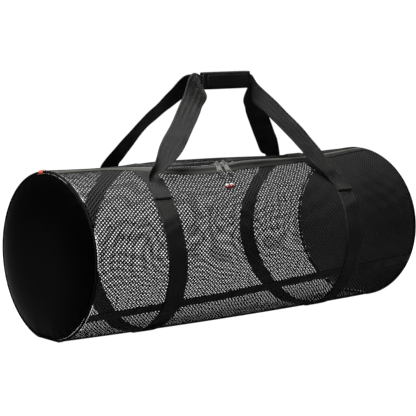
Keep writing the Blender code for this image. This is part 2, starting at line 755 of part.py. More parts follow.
def outline_curve(name, outlines, thickness, material):
    """A flat plate from closed outlines: the first is its edge, the others its holes."""
    curve = bpy.data.curves.new(name, "CURVE")
    curve.dimensions = "2D"
    curve.fill_mode = "BOTH"
    curve.extrude = thickness / 2
    for outline in outlines:
        spline = curve.splines.new("POLY")
        spline.points.add(len(outline) - 1)
        for point, (x, y) in zip(spline.points, outline):
            point.co = (x, y, 0.0, 1.0)
        spline.use_cyclic_u = True
    return add_object(name, curve, material)


def tapered_box(low_y, high_y, low_width, high_width, corner):
    """A four-sided outline with cut corners, wider at one end."""
    low, high = low_width / 2, high_width / 2
    return [
        (-low + corner, low_y),
        (low - corner, low_y),
        (low, low_y + corner),
        (high, high_y - corner),
        (high - corner, high_y),
        (-high + corner, high_y),
        (-high, high_y - corner),
        (-low, low_y + corner),
    ]


def zip_pull(side):
    """A metal pull plate: an eye round the bridge above and a slot for the cord below."""
    foot = PULL_BAR / 2 - PULL_LENGTH
    head = PULL_BAR / 2
    edge = tapered_box(foot, head, PULL_FOOT_WIDTH, PULL_TOP_WIDTH, PULL_BAR)
    inner = PULL_TOP_WIDTH - 2 * PULL_BAR
    eye = tapered_box(head - PULL_LENGTH * EYE_SHARE, head - PULL_BAR, inner, inner, PULL_CORNER)
    slot_foot = foot + PULL_FOOT_BAR
    inner = PULL_FOOT_WIDTH - 2 * SLOT_SIDE
    slot = tapered_box(slot_foot, slot_foot + CORD_SLOT, inner, inner, PULL_CORNER)
    material = plain_material(f"pull_metal_{side}", METAL_GREY, 0.3, 1.0)
    item = outline_curve(f"zip_pull_{side}", [edge, eye, slot], PULL_THICKNESS, material)
    item.matrix_local = pull_frame(side)
    return item


def cord_route(side):
    """The cord loop's points: up from the tip in front of the pull, through its slot
    round the foot bar, and down behind it to the tip again."""
    foot = PULL_BAR / 2 - PULL_LENGTH
    bar_top = foot + PULL_FOOT_BAR
    turn = CORD_DIAMETER / 2 + SEAM_GAP
    around = []
    for face, degrees in ((1, (90, 45, 0)), (-1, (0, -45, -90))):
        for angle in np.radians(degrees):
            height = face * PULL_THICKNESS / 2 + turn * math.sin(angle)
            around.append((0.0, bar_top + turn * math.cos(angle), height))
    over = PULL_THICKNESS / 2 + turn
    below = foot - CORD_DIAMETER
    quarter = CORD_SPREAD / 4
    around = [(quarter, below, over), *around, (-quarter, below, -over)]
    plate = pull_frame(side)
    tip = tip_frame(side)
    loop = [tuple(plate @ Vector(point)) for point in around]
    ends = []
    for sign in (1, -1):
        x = sign * CORD_SPREAD / 2
        entry = TIP_LENGTH / 2 + SEAM_GAP
        ends.append([tuple(tip @ Vector((x, entry + rise, 0.0))) for rise in (0.0, TIP_LENGTH / 3)])
    return np.array([*ends[0], *loop, *ends[1][::-1]])


def tip_frame(side):
    """Placing of a moulded tip that lies on the net under its pull: Y points up to it."""
    frame = pull_frame(side)
    foot = frame @ Vector((0.0, -PULL_LENGTH, 0.0))
    s, angle = pull_anchor(side)
    s -= PULL_SLANT[side] * PULL_LENGTH * TIP_DRIFT[side]
    down = PULL_LENGTH + CORD_DROP + TIP_LENGTH / 2
    lift = LAYER_GAP + TIP_THICKNESS / 2
    place = surface_frame(s, angle - degrees_along(down), lift)
    upward = foot - place.translation
    outward = place.col[2].xyz
    sideways = upward.cross(outward).normalized()
    return axes_matrix(place.translation, sideways, outward.cross(sideways), outward)


def pull_cord(side):
    """The cord loop as a round tube with closed ends."""
    points = smooth_line(cord_route(side), 2 * CORD_DIAMETER)
    curve = bpy.data.curves.new(f"pull_cord_{side}", "CURVE")
    curve.dimensions = "3D"
    curve.bevel_depth = CORD_DIAMETER / 2
    curve.bevel_resolution = 2
    curve.use_fill_caps = True
    spline = curve.splines.new("POLY")
    spline.points.add(len(points) - 1)
    for point, place in zip(spline.points, points):
        point.co = (*place, 1.0)
    return add_object(curve.name, curve, plain_material(f"cord_{side}", CLOTH_BLACK, 0.6))


def pull_tip(side):
    """A moulded tip: a bevelled block that is slimmer towards the cord."""
    shape = bmesh.new()
    bmesh.ops.create_cube(shape, size=1.0)
    bmesh.ops.scale(shape, vec=(TIP_WIDTH, TIP_LENGTH, TIP_THICKNESS), verts=shape.verts)
    for vert in shape.verts:
        if vert.co.y > 0:
            vert.co.x *= TIP_SLIM[0]
            vert.co.z *= TIP_SLIM[1]
    bmesh.ops.bevel(shape, geom=shape.edges, offset=TIP_BEVEL, segments=3, affect="EDGES")
    mesh = bpy.data.meshes.new(f"pull_tip_{side}")
    shape.to_mesh(mesh)
    shape.free()
    mesh.shade_smooth()
    item = add_object(mesh.name, mesh, plain_material(f"tip_{side}", TIP_WHITE, 0.35))
    item.matrix_local = tip_frame(side)
    return item


def build_bag():
    """Make the collections, the bag's empty and all its pieces."""
    remove_everything()
    for name in (OBJECT_NAME, "cutters"):
        collection = bpy.data.collections.get(name) or bpy.data.collections.new(name)
        if name not in bpy.context.scene.collection.children:
            bpy.context.scene.collection.children.link(collection)
    root = bpy.data.objects.new(OBJECT_NAME, None)
    bpy.data.collections[OBJECT_NAME].objects.link(root)
    net_body()
    lower_strip()
    zip_chain()
    zip_tab()
    for face in ("front", "rear"):
        zip_facing(face)
        handle(face)
    grip_wrap()
    for side in ("left", "right"):
        end_panel(side)
        end_binding(side)
        girth_strip(side)
        slider(side)
        zip_pull(side)
        pull_cord(side)
        pull_tip(side)


build_bag()
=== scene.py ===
# %% [markdown]
# # A round mesh dive gear bag
# The bag is a tube of open net that lies on its side. It has two domed black ends, a
# long zip on top, two webbing strips round its body and two webbing handles that meet
# in a grip wrap. Its plain solids were made before, at the real size in metres. This
# file loads them as a fixed frame and gives the bag its real surfaces: a net with true
# holes, woven webbing, seams with single stitches, a coil with teeth, cords and metal.

# %% Load the solids
import math

import bmesh
import bpy
import numpy as np
from mathutils import Matrix, Vector


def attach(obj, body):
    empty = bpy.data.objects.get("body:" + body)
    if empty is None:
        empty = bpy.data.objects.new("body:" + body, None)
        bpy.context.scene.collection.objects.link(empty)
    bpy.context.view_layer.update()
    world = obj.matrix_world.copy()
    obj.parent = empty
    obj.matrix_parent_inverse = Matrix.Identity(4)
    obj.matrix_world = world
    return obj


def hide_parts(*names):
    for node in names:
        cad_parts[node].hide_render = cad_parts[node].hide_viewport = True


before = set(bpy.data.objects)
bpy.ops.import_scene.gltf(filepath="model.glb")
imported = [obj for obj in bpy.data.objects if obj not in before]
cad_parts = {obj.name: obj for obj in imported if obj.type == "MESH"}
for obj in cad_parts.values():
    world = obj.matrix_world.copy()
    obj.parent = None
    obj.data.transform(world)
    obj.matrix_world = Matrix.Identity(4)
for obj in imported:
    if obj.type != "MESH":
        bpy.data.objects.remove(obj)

UP = np.array([0.0, 0.0, 1.0])
OUTWARD = {"left": -1, "right": 1}
REARWARD = {"front": -1, "rear": 1}
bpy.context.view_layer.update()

# %% [markdown]
# ## The camera and the light
# The photograph looks at the bag's left end from slightly above, from far away with a
# long lens, so parallel lines stay nearly parallel. The camera is given by the point
# it looks at, its compass direction, how far it looks down, and a small roll. Its
# three axes are worked out from these, which leaves no guessing with rotation angles.

# %% Camera
LOOK_AT = np.array([-0.029, -0.0036, 0.235])
DISTANCE = 3.90
AZIMUTH, LOOK_DOWN, ROLL = (math.radians(degrees) for degrees in (47.2, 6.9, 0.52))
LENS_MM = 158.8
SENSOR_MM = 36.0


def camera_axes():
    """The way ahead is (cos a cos d, sin a cos d, -sin d) for compass angle a and dip
    d. Right is level and square to it, up is right x ahead, and the roll turns both."""
    flat = np.array([math.cos(AZIMUTH), math.sin(AZIMUTH), 0.0])
    ahead = math.cos(LOOK_DOWN) * flat - math.sin(LOOK_DOWN) * UP
    right = np.array([flat[1], -flat[0], 0.0])
    up = np.cross(right, ahead)
    tilted_right = math.cos(ROLL) * right + math.sin(ROLL) * up
    tilted_up = math.cos(ROLL) * up - math.sin(ROLL) * right
    return tilted_right, tilted_up, ahead


def make_camera():
    """A camera whose own X, Y and -Z are the right, up and ahead of camera_axes()."""
    right, up, ahead = camera_axes()
    camera = bpy.data.objects.new("camera", bpy.data.cameras.new("camera"))
    bpy.context.scene.collection.objects.link(camera)
    turned = Matrix(np.stack([right, up, -ahead], axis=-1).tolist()).to_4x4()
    turned.translation = LOOK_AT - DISTANCE * ahead
    camera.matrix_world = turned
    camera.data.lens = LENS_MM
    camera.data.sensor_width = SENSOR_MM
    bpy.context.scene.camera = camera
    print("camera at", [round(x, 3) for x in turned.translation])


make_camera()

# %% [markdown]
# ## Places on the bag
# Every piece lies on one long round body, so one function gives all of them their
# place. It takes three numbers: how far along the bag's axis, the angle round it, and
# the lift off the net. The tables hold the few measured rows, and a smooth curve runs
# through them. The solids were made with the same numbers, so the pieces fit on them.

# %% Measures of the bag, in metres
BAG_LENGTH = 0.900
BAG_RADIUS = 0.170
REST_FLAT = 0.004
LAYER_GAP = 0.0005
PANEL_BULGE = 0.020
PANEL_WALL = 0.003
BINDING_RADIUS = 0.0026
BINDING_PROUD = 0.0012
SEAM_GAP = 0.0004
WEBBING_WIDTH = 0.046
WEBBING_THICKNESS = 0.0015
LOWER_STRIP_WIDTH = 0.020
LOWER_STRIP_THICKNESS = 0.0012
FACING_WIDTH = 0.019
FACING_THICKNESS = 0.0010
CHAIN_WIDTH = 0.008
STRIP_OUTER = LAYER_GAP + WEBBING_THICKNESS
AXIS_HEIGHT = BAG_RADIUS - REST_FLAT + STRIP_OUTER
BEND = math.radians(9.8)
BEND_RADIUS = BAG_LENGTH / BEND
PLAN_SWING = BEND_RADIUS * (1 - math.cos(BEND / 2))
REAR_REACH = PLAN_SWING + (BAG_RADIUS + BINDING_PROUD) * math.cos(BEND / 2)
PLAN_OFFSET = (REAR_REACH - BAG_RADIUS) / 2
NET_HALF = BAG_LENGTH / 2 - (2 * BINDING_RADIUS + SEAM_GAP)

ZIP_COLUMNS = ("share", "angle", "ridge", "front_dip", "rear_dip", "rear_swell")
ZIP_LINE = (
    (0.00, 88.0, 0.000, 0.000, 0.000, -0.004),
    (0.14, 87.5, -0.006, 0.000, 0.000, -0.024),
    (0.22, 81.0, 0.004, 0.000, 0.006, -0.010),
    (0.30, 73.0, 0.016, 0.012, -0.004, 0.020),
    (0.44, 71.2, 0.020, 0.018, -0.008, 0.022),
    (0.51, 73.0, 0.036, 0.018, 0.000, 0.016),
    (0.58, 73.8, 0.032, 0.014, 0.010, 0.004),
    (0.72, 76.0, 0.007, 0.004, 0.025, -0.026),
    (0.83, 79.5, 0.004, 0.000, 0.018, -0.020),
    (0.92, 84.0, 0.000, 0.000, 0.006, -0.004),
    (1.00, 87.0, 0.000, 0.000, 0.000, 0.000),
)
# Each hump's sign, its place off the zip's middle and its width, both in degrees.
RELIEF_HUMPS = {"ridge": (1, 0.0, 4.2), "front_dip": (-1, -18.0, 9.0), "rear_dip": (-1, 8.0, 6.0)}
SWELL_ANGLE = 104.0
SWELL_WIDTH = 14.0
GIRTH_COLUMNS = ("angle", "left", "right")
GIRTH_CENTRES = (
    (-90.0, 0.230, 0.787),
    (-60.0, 0.225, 0.775),
    (-28.0, 0.221, 0.766),
    (0.0, 0.214, 0.763),
    (21.0, 0.208, 0.763),
    (40.0, 0.208, 0.762),
    (56.0, 0.217, 0.742),
    (75.0, 0.220, 0.732),
    (110.0, 0.250, 0.796),
    (141.0, 0.250, 0.797),
    (165.0, 0.242, 0.790),
    (186.0, 0.241, 0.788),
    (212.0, 0.240, 0.791),
    (240.0, 0.236, 0.793),
    (270.0, 0.230, 0.787),
)
GIRTH_END_ANGLES = {"front": 75.0, "rear": 95.0}
LOWER_STRIP_LINE = (
    (0.00, -38.5),
    (0.27, -34.2),
    (0.38, -32.7),
    (0.46, -30.8),
    (0.61, -27.7),
    (0.82, -25.2),
    (1.00, -23.6),
)


# %% Functions that place a point
def read_table(table, at):
    """All columns of a table at some places. Between two rows it is the cubic that has
    the rows' values and their slopes at both ends."""
    rows = np.array(table, float)
    place, values = rows[:, 0], rows[:, 1:]
    slope = np.gradient(values, place, axis=0)
    at = np.clip(np.asarray(at, float), place[0], place[-1])
    row = np.clip(np.searchsorted(place, at, side="right") - 1, 0, len(place) - 2)
    step = (place[row + 1] - place[row])[..., None]
    t = (at - place[row])[..., None] / step
    start = (1 + 2 * t) * (1 - t) ** 2 * values[row] + t * (1 - t) ** 2 * step * slope[row]
    end = t**2 * (3 - 2 * t) * values[row + 1] - t**2 * (1 - t) * step * slope[row + 1]
    return start + end


def degrees_along(distance):
    """The angle of an arc on the net: its length divided by the radius, in degrees."""
    return np.degrees(distance / BAG_RADIUS)


def hump(distance, width):
    """A bell of height 1: e to the minus (distance / width) squared."""
    return np.exp(-((distance / width) ** 2))


def upright(angle):
    """The same angle between -90 (underneath) and 270."""
    return (np.asarray(angle, float) + 90.0) % 360.0 - 90.0


def zip_row(s):
    """The zip's angle and the relief round it at places along the bag."""
    values = read_table(ZIP_LINE, np.asarray(s, float) / BAG_LENGTH + 0.5)
    return {name: values[..., i] for i, name in enumerate(ZIP_COLUMNS[1:])}


def relief(s, angle):
    """How far the top leaves a true round: the sum of each hump's height times its bell."""
    row = zip_row(s)
    share = row["rear_swell"] * hump(angle - SWELL_ANGLE, SWELL_WIDTH)
    for name, (sign, offset, width) in RELIEF_HUMPS.items():
        share = share + sign * row[name] * hump(angle - row["angle"] - offset, width)
    return BAG_RADIUS * share


def axis_point(s):
    """A point on the axis, which is an arc in plan, the way along it and the way to
    the front. With turn = s / radius of the arc, the way along is (cos, sin, 0)."""
    turn = np.asarray(s, float) / BEND_RADIUS
    zero = np.zeros_like(turn)
    swing = BEND_RADIUS * (1 - np.cos(turn)) - PLAN_OFFSET
    point = np.stack([BEND_RADIUS * np.sin(turn), swing, zero + AXIS_HEIGHT], axis=-1)
    along = np.stack([np.cos(turn), np.sin(turn), zero], axis=-1)
    front = np.stack([np.sin(turn), -np.cos(turn), zero], axis=-1)
    return point, along, front


def skin(s, angle, lift=0.0):
    """Axis point + (radius + relief + lift) x (cos angle to the front + sin angle up),
    and never below the flat that the bag rests on."""
    s, angle, lift = np.broadcast_arrays(*(np.asarray(x, float) for x in (s, angle, lift)))
    point, _, front = axis_point(s)
    reach = BAG_RADIUS + relief(s, upright(angle)) + lift
    turn = np.radians(angle)
    point = point + (reach * np.cos(turn))[..., None] * front
    point[..., 2] += reach * np.sin(turn)
    point[..., 2] = np.maximum(point[..., 2], np.maximum(STRIP_OUTER - lift, 0.0))
    return point


def outward(s, angle):
    """The way out of the bag, straight from its axis."""
    turn = np.radians(angle)[..., None]
    return np.cos(turn) * axis_point(s)[2] + np.sin(turn) * UP


def girth_centre(side, angle):
    """Where along the bag the middle of a girth strip is, at an angle round it."""
    share = read_table(GIRTH_CENTRES, upright(angle))[..., GIRTH_COLUMNS.index(side) - 1]
    return (share - 0.5) * BAG_LENGTH


def zip_angle(s, side, away):
    """The angle at a distance from the zip's middle, towards the front or the rear."""
    return zip_row(s)["angle"] + REARWARD[side] * degrees_along(away)


def unit(vector):
    """Vectors of length 1: each one divided by its own length."""
    return vector / np.maximum(np.linalg.norm(vector, axis=-1, keepdims=True), 1e-12)


def running_length(line):
    """How far along a line each point is: the running sum of its steps."""
    steps = np.linalg.norm(np.diff(line, axis=0), axis=1)
    return np.concatenate([[0.0], np.cumsum(steps)])


def smooth_line(points, step, *others):
    """A smooth curve through all points, with a point about every step between them."""
    run = running_length(np.array(points))
    counts = [max(1, round(gap / step)) for gap in np.diff(run)]
    spans = zip(run[:-1], run[1:], counts)
    places = [np.linspace(start, end, count, endpoint=False) for start, end, count in spans]
    return read_table(np.column_stack([run, points, *others]), np.hstack([*places, run[-1:]]))


print("top of the net in the middle:", np.round(skin(0.0, 90.0), 4).tolist())

# %% [markdown]
# ## From arrays to pieces
# A surface is a grid of points: rows one way and columns the other. Four neighbours
# make a face. The same grid gives each face its place on a UV map, here in metres, so
# a weave on cloth has its true size and follows the cloth round every bend. A tube is
# a grid that closes on itself. The whole grid goes into the mesh in one call.

# %% Mesh helpers
def build_piece(name, points, faces, material, corner_uv=None):
    """A mesh object at the origin from points (n, 3) and faces (m, 3 or 4)."""
    mesh = bpy.data.meshes.new(name)
    mesh.vertices.add(len(points))
    mesh.vertices.foreach_set("co", np.asarray(points, np.float32).ravel())
    mesh.loops.add(faces.size)
    mesh.loops.foreach_set("vertex_index", faces.astype(np.int32).ravel())
    mesh.polygons.add(len(faces))
    starts = np.arange(len(faces), dtype=np.int32) * faces.shape[1]
    mesh.polygons.foreach_set("loop_start", starts)
    if corner_uv is not None:
        layer = mesh.uv_layers.new(name="UVMap")
        layer.uv.foreach_set("vector", np.asarray(corner_uv, np.float32).ravel())
    mesh.update(calc_edges=True)
    mesh.shade_smooth()
    piece = bpy.data.objects.new(name, mesh)
    bpy.context.scene.collection.objects.link(piece)
    piece.data.materials.append(material)
    return piece


def surface(name, points, material, u, v, closed=(False, False), turned=False):
    """A grid of points (rows, columns, 3) as faces between neighbours. u belongs to
    the columns and v to the rows; a closed way has one value more than points. A turned
    UV map has u and v changed round, so that a weave runs along the rows."""
    rows, columns = points.shape[:2]
    r = np.arange(rows if closed[0] else rows - 1)
    c = np.arange(columns if closed[1] else columns - 1)
    r, c = np.meshgrid(r, c, indexing="ij")
    row = np.stack([r, r, r + 1, r + 1], axis=-1).reshape(-1, 4)
    column = np.stack([c, c + 1, c + 1, c], axis=-1).reshape(-1, 4)
    faces = (row % rows) * columns + column % columns
    corner_uv = np.stack([np.asarray(u)[column], np.asarray(v)[row]], axis=-1)
    corner_uv = corner_uv[..., ::-1] if turned else corner_uv
    return build_piece(name, points.reshape(-1, 3), faces, material, corner_uv)


def tube_points(line, radius, sides, normal):
    """Circles round a line: point + radius x (cos t side + sin t up). The way up leans
    as little as it can from the given normal, so that the tube isn't twisted."""
    ahead = unit(np.gradient(line, axis=0))
    side = unit(np.cross(ahead, normal))
    up = np.cross(side, ahead)
    turn = np.linspace(0.0, 2 * np.pi, sides, endpoint=False)[None, :, None]
    ring = np.cos(turn) * side[:, None] + np.sin(turn) * up[:, None]
    return line[:, None] + radius[:, None, None] * ring


def fill_rings(piece, columns, rings, closes=True):
    """Close some rings of a tube with one many-sided face each. Where that closes the
    whole piece, every face is turned outwards."""
    shape = bmesh.new()
    shape.from_mesh(piece.data)
    shape.verts.ensure_lookup_table()
    for ring in rings:
        start = ring * columns % len(shape.verts)
        shape.faces.new(shape.verts[start : start + columns])
    if closes:
        bmesh.ops.recalc_face_normals(shape, faces=shape.faces)
    shape.to_mesh(piece.data)
    shape.free()
    piece.data.shade_smooth()


def thicken(piece, thickness, offset=-1.0):
    """Give a sheet its wall: offset -1 is inwards and 0 is both ways."""
    wall = piece.modifiers.new("Solidify", "SOLIDIFY")
    wall.thickness = thickness
    wall.offset = offset
    return wall


def settle(piece, slot, *nodes):
    """Let a piece move with the bag and stand for its solids. The slot is not used."""
    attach(piece, "root")
    if nodes:
        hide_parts(*nodes)
    print(f"{piece.name}: {len(piece.data.polygons)} faces")
    return piece


# %% [markdown]
# ## Finishes
# Black things are hard to render: what tells nylon net from webbing, coated cloth or
# rubber is not their colour but how they catch the light. Each finish is one
# Principled shader. Its steady values, such as sheen, sit on the shader itself. Noise
# and weave patterns drive its colour, its roughness and a bump. Patterns that follow
# the cloth read the UV map, and the others read the object's own coordinates.

# %% Node helpers
def add_node(material, kind, inputs=None, **settings):
    """One node. Inputs are numbers, or sockets of other nodes to link from."""
    node = material.node_tree.nodes.new(kind)
    for name, value in settings.items():
        setattr(node, name, value)
    for key, value in (inputs or {}).items():
        if isinstance(value, bpy.types.NodeSocket):
            material.node_tree.links.new(value, node.inputs[key])
        else:
            node.inputs[key].default_value = value
    return node


def new_finish(name, **values):
    """A material and its shader, with steady values such as Sheen_Weight=0.3."""
    material = bpy.data.materials.new(name)
    material.use_nodes = True
    for key, value in values.items():
        shader_of(material).inputs[key.replace("_", " ")].default_value = value
    return material


def shader_of(material):
    """The Principled shader that every new material comes with."""
    return material.node_tree.nodes["Principled BSDF"]


def calculate(material, operation, *values):
    """A Math node's result."""
    inputs = dict(enumerate(values))
    return add_node(material, "ShaderNodeMath", inputs, operation=operation).outputs[0]


def noise(material, vector, scale, detail=3.0):
    """Soft irregular noise between 0 and 1."""
    inputs = {"Vector": vector, "Scale": scale, "Detail": detail}
    return add_node(material, "ShaderNodeTexNoise", inputs).outputs["Fac"]


def blend_colours(material, amount, *ends):
    """A colour between two, by an amount from 0 to 1. Each is three numbers or a socket."""
    dark, light = (end if isinstance(end, bpy.types.NodeSocket) else (*end, 1.0) for end in ends)
    inputs = {0: amount, 6: dark, 7: light}
    return add_node(material, "ShaderNodeMix", inputs, data_type="RGBA").outputs[2]


def between(material, amount, low, high, start=0.0, stop=1.0):
    """A number that goes from low to high while an amount goes from start to stop."""
    inputs = {"Value": amount, "From Min": start, "From Max": stop, "To Min": low, "To Max": high}
    return add_node(material, "ShaderNodeMapRange", inputs).outputs[0]


def connect(material, **sockets):
    """Link results to the shader's inputs."""
    for key, socket in sockets.items():
        material.node_tree.links.new(socket, shader_of(material).inputs[key.replace("_", " ")])


def bump(material, height, distance):
    """Bend the shading by a height that is worth some metres."""
    normal = add_node(material, "ShaderNodeBump", {"Height": height, "Distance": distance})
    connect(material, Normal=normal.outputs[0])


def coordinates(material, name):
    """Texture coordinates: "Object" or "UV"."""
    return add_node(material, "ShaderNodeTexCoord").outputs[name]


def uv_measures(material):
    """How far along the two ways of the UV map a place is, in metres."""
    place = {"Vector": coordinates(material, "UV")}
    return add_node(material, "ShaderNodeSeparateXYZ", place).outputs[:2]


def ripples(material, value, pitch):
    """A sine wave with one crest each pitch."""
    turn = calculate(material, "MULTIPLY", value, 2 * math.pi / pitch)
    return calculate(material, "SINE", turn)


def weave_height(material, length_pitch, width_pitch, columns):
    """Woven ribs on the UV map: wave along x wave across, on rounded columns."""
    u, v = uv_measures(material)
    picks = ripples(material, u, length_pitch)
    warps = ripples(material, v, width_pitch)
    crossing = calculate(material, "MULTIPLY", picks, warps)
    rib = calculate(material, "ABSOLUTE", ripples(material, v, columns))
    return calculate(material, "ADD", crossing, rib)


def cloth_finish(name, dark, light, roughness, grain, depth, weave=None, **values):
    """Cloth: two noises, whose scales are the grain, mix half and half and drive the
    colour from dark to light, and the first drives the roughness. The bump is depth
    metres of a weave, which is given by its three pitches, or of the second noise."""
    material = new_finish(name, **values)
    place = coordinates(material, "Object")
    drift = noise(material, place, grain[0], 4.0)
    fine = noise(material, place, grain[1], 2.0)
    half = calculate(material, "MULTIPLY", drift, 0.5)
    mixed = calculate(material, "MULTIPLY_ADD", fine, 0.5, half)
    connect(
        material,
        Base_Color=blend_colours(material, mixed, dark, light),
        Roughness=between(material, drift, *roughness),
    )
    bump(material, weave_height(material, *weave) if weave else fine, depth)
    return material


# %% Finishes of the cloth parts
NET_YARN = cloth_finish(
    "net_yarn", (0.008, 0.008, 0.0085), (0.020, 0.020, 0.0205), (0.45, 0.62), (14.0, 1400.0),
    0.0002, Sheen_Weight=0.04, Sheen_Roughness=0.35, Sheen_Tint=(0.8, 0.82, 0.85, 1.0),
    Specular_IOR_Level=0.22,
)
WEBBING = cloth_finish(
    "webbing", (0.005, 0.005, 0.0052), (0.016, 0.016, 0.0155), (0.42, 0.58), (22.0, 900.0),
    0.00025, (0.0014, 0.0028, 0.0032), Sheen_Roughness=0.28,
    Sheen_Tint=(0.80, 0.80, 0.74, 1.0), Specular_IOR_Level=0.3,
)
FACING = cloth_finish(
    "coated_cloth", (0.022, 0.024, 0.019), (0.050, 0.053, 0.044), (0.42, 0.58), (30.0, 700.0),
    0.00012, (0.0042, 0.0042, 0.0021), Sheen_Weight=0.10, Sheen_Roughness=0.35,
    Sheen_Tint=(0.85, 0.87, 0.80, 1.0),
)
# The rear band is the same coated cloth painted darker: painted shade for the valley behind the
# lip.
FACING_REAR_SHADED = cloth_finish(
    "coated_cloth_rear_painted_shade", (0.006, 0.007, 0.006), (0.016, 0.017, 0.015), (0.5, 0.62),
    (30.0, 700.0), 0.00012, (0.0042, 0.0042, 0.0021), Sheen_Weight=0.06,
    Sheen_Roughness=0.35, Specular_IOR_Level=0.2,
)
END_CLOTH = cloth_finish(
    "end_cloth", (0.0004, 0.00045, 0.0006), (0.0010, 0.00105, 0.0013), (0.34, 0.44),
    (9.0, 1100.0), 0.00006, Sheen_Roughness=0.25, Sheen_Tint=(0.9, 0.86, 0.8, 1.0),
    Specular_IOR_Level=0.03,
)
END_LINING = cloth_finish(
    "end_lining", (0.036, 0.036, 0.035), (0.064, 0.064, 0.061), (0.45, 0.60), (12.0, 900.0),
    0.00008, Sheen_Weight=0.25, Sheen_Roughness=0.35, Specular_IOR_Level=0.3,
)
BINDING = cloth_finish(
    "binding_tape", (0.001, 0.001, 0.0011), (0.003, 0.003, 0.0032), (0.5, 0.65), (25.0, 900.0),
    0.0002, (0.0016, 0.0022, 0.0030), Sheen_Weight=0.015, Sheen_Roughness=0.3,
    Specular_IOR_Level=0.08,
)
GRIP_CLOTH = cloth_finish(
    "grip_cloth", (0.004, 0.004, 0.0045), (0.010, 0.010, 0.0108), (0.42, 0.55), (30.0, 1000.0),
    0.00012, (0.0011, 0.0011, 0.0022), Sheen_Weight=0.1, Sheen_Roughness=0.35,
    Specular_IOR_Level=0.3,
)
RED_CLOTH = cloth_finish(
    "red_tape", (0.66, 0.035, 0.016), (0.90, 0.085, 0.040), (0.5, 0.65), (60.0, 1200.0),
    0.00015, (0.0010, 0.0014, 0.0020), Sheen_Weight=0.2, Sheen_Roughness=0.4,
)
THREAD = cloth_finish(
    "thread", (0.010, 0.010, 0.010), (0.030, 0.030, 0.029), (0.45, 0.6), (200.0, 3000.0),
    0.0001, Sheen_Weight=0.3,
)
CORD_BRAID = cloth_finish(
    "cord_braid", (0.002, 0.002, 0.002), (0.007, 0.007, 0.007), (0.45, 0.6), (90.0, 1500.0),
    0.0002, (0.0011, 0.0014, 0.0028), Sheen_Weight=0.05,
)
COIL_PLASTIC = cloth_finish(
    "coil_plastic", (0.008, 0.008, 0.008), (0.022, 0.022, 0.022), (0.3, 0.42), (80.0, 1600.0),
    0.00004,
)
print("cloth finishes:", [material.name for material in bpy.data.materials][-12:])

# %% Wear and painted light
SHINE_PATCHES = {"scale": 28.0, "start": 0.35, "stop": 0.65}
# The next three set where the lip's painted highlight fades, and where the front band's painted
# light turns to painted shade along the bag, broken by blotches.
LIP_HIGHLIGHT_EDGE = (0.0085, 0.0110)
PAINTED_LIGHT_SPAN = (-0.06, 0.10)
PAINTED_LIGHT_BLOTCHES = {"scale": 45.0, "reach": 0.08}
PUFFED_EDGE = (0.55, 0.92)


def rub(material, low, high):
    """A used strap shines in patches: its sheen follows a coarse noise, steeply."""
    patches = noise(material, coordinates(material, "Object"), SHINE_PATCHES["scale"], 2.0)
    steep = (SHINE_PATCHES["start"], SHINE_PATCHES["stop"])
    connect(material, Sheen_Weight=between(material, patches, low, high, *steep))


def paint_facing_light(material, lip, lit_left, shaded_right):
    """Painted light on the front band: a painted highlight along its folded lip
    beside the coil, and painted light that makes the band paler towards its left end,
    with painted shade towards its right end. u is the way from the coil and v the way
    along the bag."""
    u, v = uv_measures(material)
    blotch = noise(material, coordinates(material, "Object"), PAINTED_LIGHT_BLOTCHES["scale"])
    spread = calculate(material, "MULTIPLY_ADD", blotch, PAINTED_LIGHT_BLOTCHES["reach"], v)
    painted_light = between(material, spread, 1.0, 0.0, *PAINTED_LIGHT_SPAN)
    band = blend_colours(material, painted_light, shaded_right, lit_left)
    away = between(material, u, 0.0, 1.0, *LIP_HIGHLIGHT_EDGE)
    connect(material, Base_Color=blend_colours(material, away, lip, band))


def worn_edge(material, middle, edge):
    """The puffed edge beside the seam is rubbed, so its sheen rises towards it. v is
    the way from the panel's middle."""
    start, stop = (share * BAG_RADIUS for share in PUFFED_EDGE)
    sheen = between(material, uv_measures(material)[1], middle, edge, start, stop)
    connect(material, Sheen_Weight=sheen)


rub(WEBBING, 0.06, 0.34)
# Painted highlight on the front band's lip, painted light on its left end and painted shade on its
# right end.
paint_facing_light(FACING, (0.105, 0.110, 0.098), (0.050, 0.053, 0.043), (0.008, 0.009, 0.007))
worn_edge(END_CLOTH, 0.006, 0.030)

# %% [markdown]
# ## The two pull cords
# A thin black cord is looped through the slot at the foot of each zip pull, and both
# of its ends go into a moulded tip. It is modelled first because its length is a real
# measure: the route goes up from the tip, round the pull's foot bar and back. The
# route's few points are the ones that the solids follow, and a tube is carried along a
# smooth curve through them.

# %% Pull places
SLIDER_PLATE = 0.0028
BRIDGE_RADIUS = 0.0032
BRIDGE_WIRE = 0.0008
PULL_LENGTH = 0.034
PULL_THICKNESS = 0.0016
PULL_BAR = 0.0016
PULL_FOOT_BAR = 0.0022
CORD_DIAMETER = 0.0024
CORD_SPREAD = 0.0038
CORD_DROP = 0.0265
EXIT_BELOW = 0.009
TIP_LENGTH = 0.013
TIP_WIDTH = 0.0085
TIP_THICKNESS = 0.0055
PULL_PLACES = {"left": 0.428, "right": 0.448}
PULL_SLANT = {"left": 0.40, "right": 0.19}
TIP_DRIFT = {"left": 1.3, "right": 3.6}
BRIDGE_SUNK = 0.8
SMALL_STEP = 1e-4


def axes_matrix(origin, x_axis, y_axis, z_axis):
    """A placing matrix: its columns are the three axes and the origin."""
    matrix = Matrix((x_axis, y_axis, z_axis)).transposed().to_4x4()
    matrix.translation = origin
    return matrix


